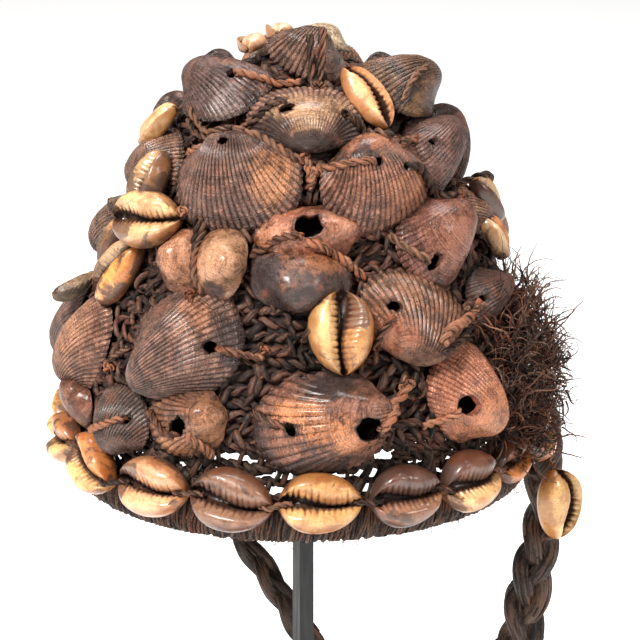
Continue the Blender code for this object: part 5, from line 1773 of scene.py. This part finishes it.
def add_knot(bundle, place, size, thick, rng):
    """A small tight knot: a trefoil pulled in on itself."""
    turn = 2 * np.pi * np.arange(44) / 44
    across = np.sin(turn) + 1.5 * np.sin(2 * turn)
    along = np.cos(turn) - 1.5 * np.cos(2 * turn)
    knot = np.stack([across, along, -1.1 * np.sin(3 * turn)], axis=1)
    knot = knot * size / 2.5 * (rng.uniform(0.75, 1.1), rng.uniform(0.75, 1.1), 1)
    spin = Matrix.Rotation(rng.uniform(0, 6.3), 4, "Z")
    add_rope(bundle, moved(knot, place @ spin), thick, 2, 3.5 * MM, 5, rng, closed=True)


Knot = namedtuple("Knot", "azimuth height size thick")
KNOTS = [
    Knot(1, 110, 2.6, 1.0),
    Knot(4, 106.5, 2.3, 1.0),
    Knot(-42, 92.5, 2.0, 0.9),
    Knot(-32, 70.5, 2.2, 0.9),
    Knot(7, 107, 1.9, 0.9),
    Knot(-57, 44.5, 1.8, 0.8),
    Knot(52, 61.5, 2.2, 1.0),
    Knot(60, 92, 2.0, 0.9),
    Knot(-10, 58, 1.7, 0.8),
    Knot(27, 46.5, 2.1, 0.9),
]
knots = Bundle()
for azimuth, height, size, thick in KNOTS:
    path = drape([(azimuth, height), (azimuth + 1, height)], thick * MM)
    place = on_netting(azimuth, height)
    place.translation = Vector(path[len(path) // 2])
    add_knot(knots, place, size * MM, thick * MM, rng)
DROP = [(3.5, 109.5), (5, 107), (5, 104), (3.5, 102)]
add_rope(knots, drape(DROP, 1.3 * MM), 1.3 * MM, 3, 6 * MM, 6, rng)
on_root(knots.piece("twine_knots", RUST_TWINE), "knotted_fibre")


# ---------------------------------------------------------------- fibre tuft
# Shredded plant fibre standing out of the netting at the side, finer towards its free
# ends: curly below, in straighter spikes above.

TUFT_FIBRE = fibre_material("tuft_fibre", srgb(24, 17, 15), srgb(140, 108, 92), srgb(124, 70, 46), 0.14)
rng = np.random.default_rng(77)
# Spread is in degrees round the hat, millimetres up it and millimetres out of it.
TUFT_AZIMUTH = 72
TUFT_HEIGHT = 38.5
TUFT_LIFT = 9.5
TUFT_SPREAD = (21, 27, 8.5)
TUFT_FIBRES = 1500
TUFT_LENGTHS = (5, 15)
TUFT_STEPS = 9

tuft = Bundle()
for _ in range(TUFT_FIBRES):
    start = rng.normal(size=3)
    start *= rng.uniform(0.3, 1.0) / np.linalg.norm(start)
    azimuth = TUFT_AZIMUTH + TUFT_SPREAD[0] * start[0] + 5 * start[1]
    height = TUFT_HEIGHT + TUFT_SPREAD[1] * start[1]
    lift = max(1.0, TUFT_LIFT + TUFT_SPREAD[2] * start[2] - 4 * abs(start[0]) - 2 * start[1])
    place = np.array(on_netting(azimuth, height, lift=lift))
    right, up, out = place[:3, 0], place[:3, 1], place[:3, 2]
    point = place[:3, 3]
    rising = np.clip(start[1] + 0.3, 0, 1)
    way = (0.5 * start[0] + 0.15) * right + (0.9 * start[1] + 0.2 + 0.5 * rising) * up
    way = way + (0.35 + 0.4 * start[2]) * out
    way = way + rng.normal(0, 0.5, 3)
    way /= np.linalg.norm(way)
    curl_size = rng.choice((0.18, 0.38, 0.7)) * (1 - 0.6 * rising)
    curl = rng.normal(0, 1, 3)
    length = rng.uniform(*TUFT_LENGTHS) * MM * (1 + 0.35 * rising)
    stops = [point]
    for _ in range(TUFT_STEPS - 1):
        curl = curl * 0.85 + rng.normal(0, 0.6, 3)
        way = way + curl_size * np.cross(curl, way) + rng.normal(0, 0.12, 3)
        way /= np.linalg.norm(way)
        point = point + way * length / TUFT_STEPS
        stops.append(point)
    taper = np.linspace(1, 0.3, TUFT_STEPS) * rng.choice((0.18, 0.25, 0.34, 0.44)) * MM
    add_tube(tuft, np.array(stops), taper, 3, rng.beta(0.9, 1.6))
on_root(tuft.piece("tuft_fibres", TUFT_FIBRE), "loose_fibre", "fibre_tuft")


# ---------------------------------------------------------------- loose hairs
# Ends of split fibre that stand off the rim's underside and out of the netting. They
# are the loose ends of the binding and the cords.

HAIR = fibre_material("loose_hair", srgb(26, 17, 14), srgb(118, 86, 72), srgb(124, 66, 42), 0.08)
rng = np.random.default_rng(41)
hairs = Bundle()
HAIR_COUNTS = ((150, "rim"), (170, "net"))
HAIR_LENGTHS = (2.5, 7.5)
HAIR_STEPS = 7
HAIR_RADII = (0.14, 0.05)
for count, where in HAIR_COUNTS:
    for _ in range(count):
        turn = rng.uniform(0, 2 * np.pi)
        outward = np.array([math.sin(turn), -math.cos(turn), 0])
        if where == "rim":
            dip = rng.uniform(-2.4, -0.6)
            point = outward * (RIM_RADIUS + RIM_HALF_WIDE * math.cos(dip))
            point = point + (0, 0, RIM_HEIGHT + RIM_HALF_TALL + RIM_HALF_TALL * math.sin(dip))
            way = outward * rng.uniform(0.0, 0.9) - (0, 0, rng.uniform(0.3, 1))
        else:
            height = rng.uniform(20, 112)
            point = spot(math.degrees(turn), height, 2.0)
            way = outward + rng.normal(0, 0.6, 3)
        way = way / np.linalg.norm(way)
        bend = rng.normal(0, 0.22, 3)
        length = rng.uniform(*HAIR_LENGTHS) * MM
        stops = [point]
        for _ in range(HAIR_STEPS):
            way = way + bend
            way = way / np.linalg.norm(way)
            stops.append(stops[-1] + way * length / HAIR_STEPS)
        taper = np.linspace(*HAIR_RADII, HAIR_STEPS + 1) * MM
        add_tube(hairs, np.array(stops), taper, 3, rng.uniform(0, 1))
on_root(hairs.piece("loose_hairs", HAIR), "loose_fibre")


# ---------------------------------------------------------------- stand
# Square bar, small head and plate of blackened steel, scratched along their length.
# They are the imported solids, given their finish.


def steel_material():
    made = Surface("blackened_steel")
    cloud = made.noise(60.0, 4.0)
    grain = made.noise(900.0, 2.0, made.scaled(made.place, (1, 1, 0.08)))
    scratch = made.span(made.noise(240.0, 3.0, made.scaled(made.place, (1, 1, 0.12))), 0.62, 0.72)
    colour = made.mix(cloud, srgb(9, 9, 10), srgb(19, 18, 18))
    made.set("Base Color", made.mix(made.times(scratch, 0.3), colour, srgb(70, 68, 66)))
    made.set("Metallic", 0.15)
    made.set("Roughness", made.span(grain, 0.2, 0.8, 0.38, 0.58))
    made.bump(grain, 0.08 * MM, 0.5)
    return made.material


STEEL = steel_material()
for name in ("stand_base", "stand_rod", "stand_head"):
    frame["nodes"][name].data.materials[0] = STEEL


# ---------------------------------------------------------------- cap and rim
# Behind the cords the cap and the rim's core are packed dark fibre, woven close. They
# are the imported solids, given their finish.


def core_material():
    made = Surface("fibre_core")
    weave = made.noise(420.0, 4.0, made.scaled(made.place, (1, 1, 2.4)), 0.65)
    colour = made.mix(made.span(weave, 0.35, 0.75), srgb(26, 18, 16), srgb(66, 46, 38))
    made.set("Base Color", colour)
    made.set("Roughness", 0.85)
    made.bump(weave, 0.9 * MM, 0.9)
    return made.material


CORE = core_material()
for name in ("cap", "rim_ring"):
    frame["nodes"][name].data.materials[0] = CORE
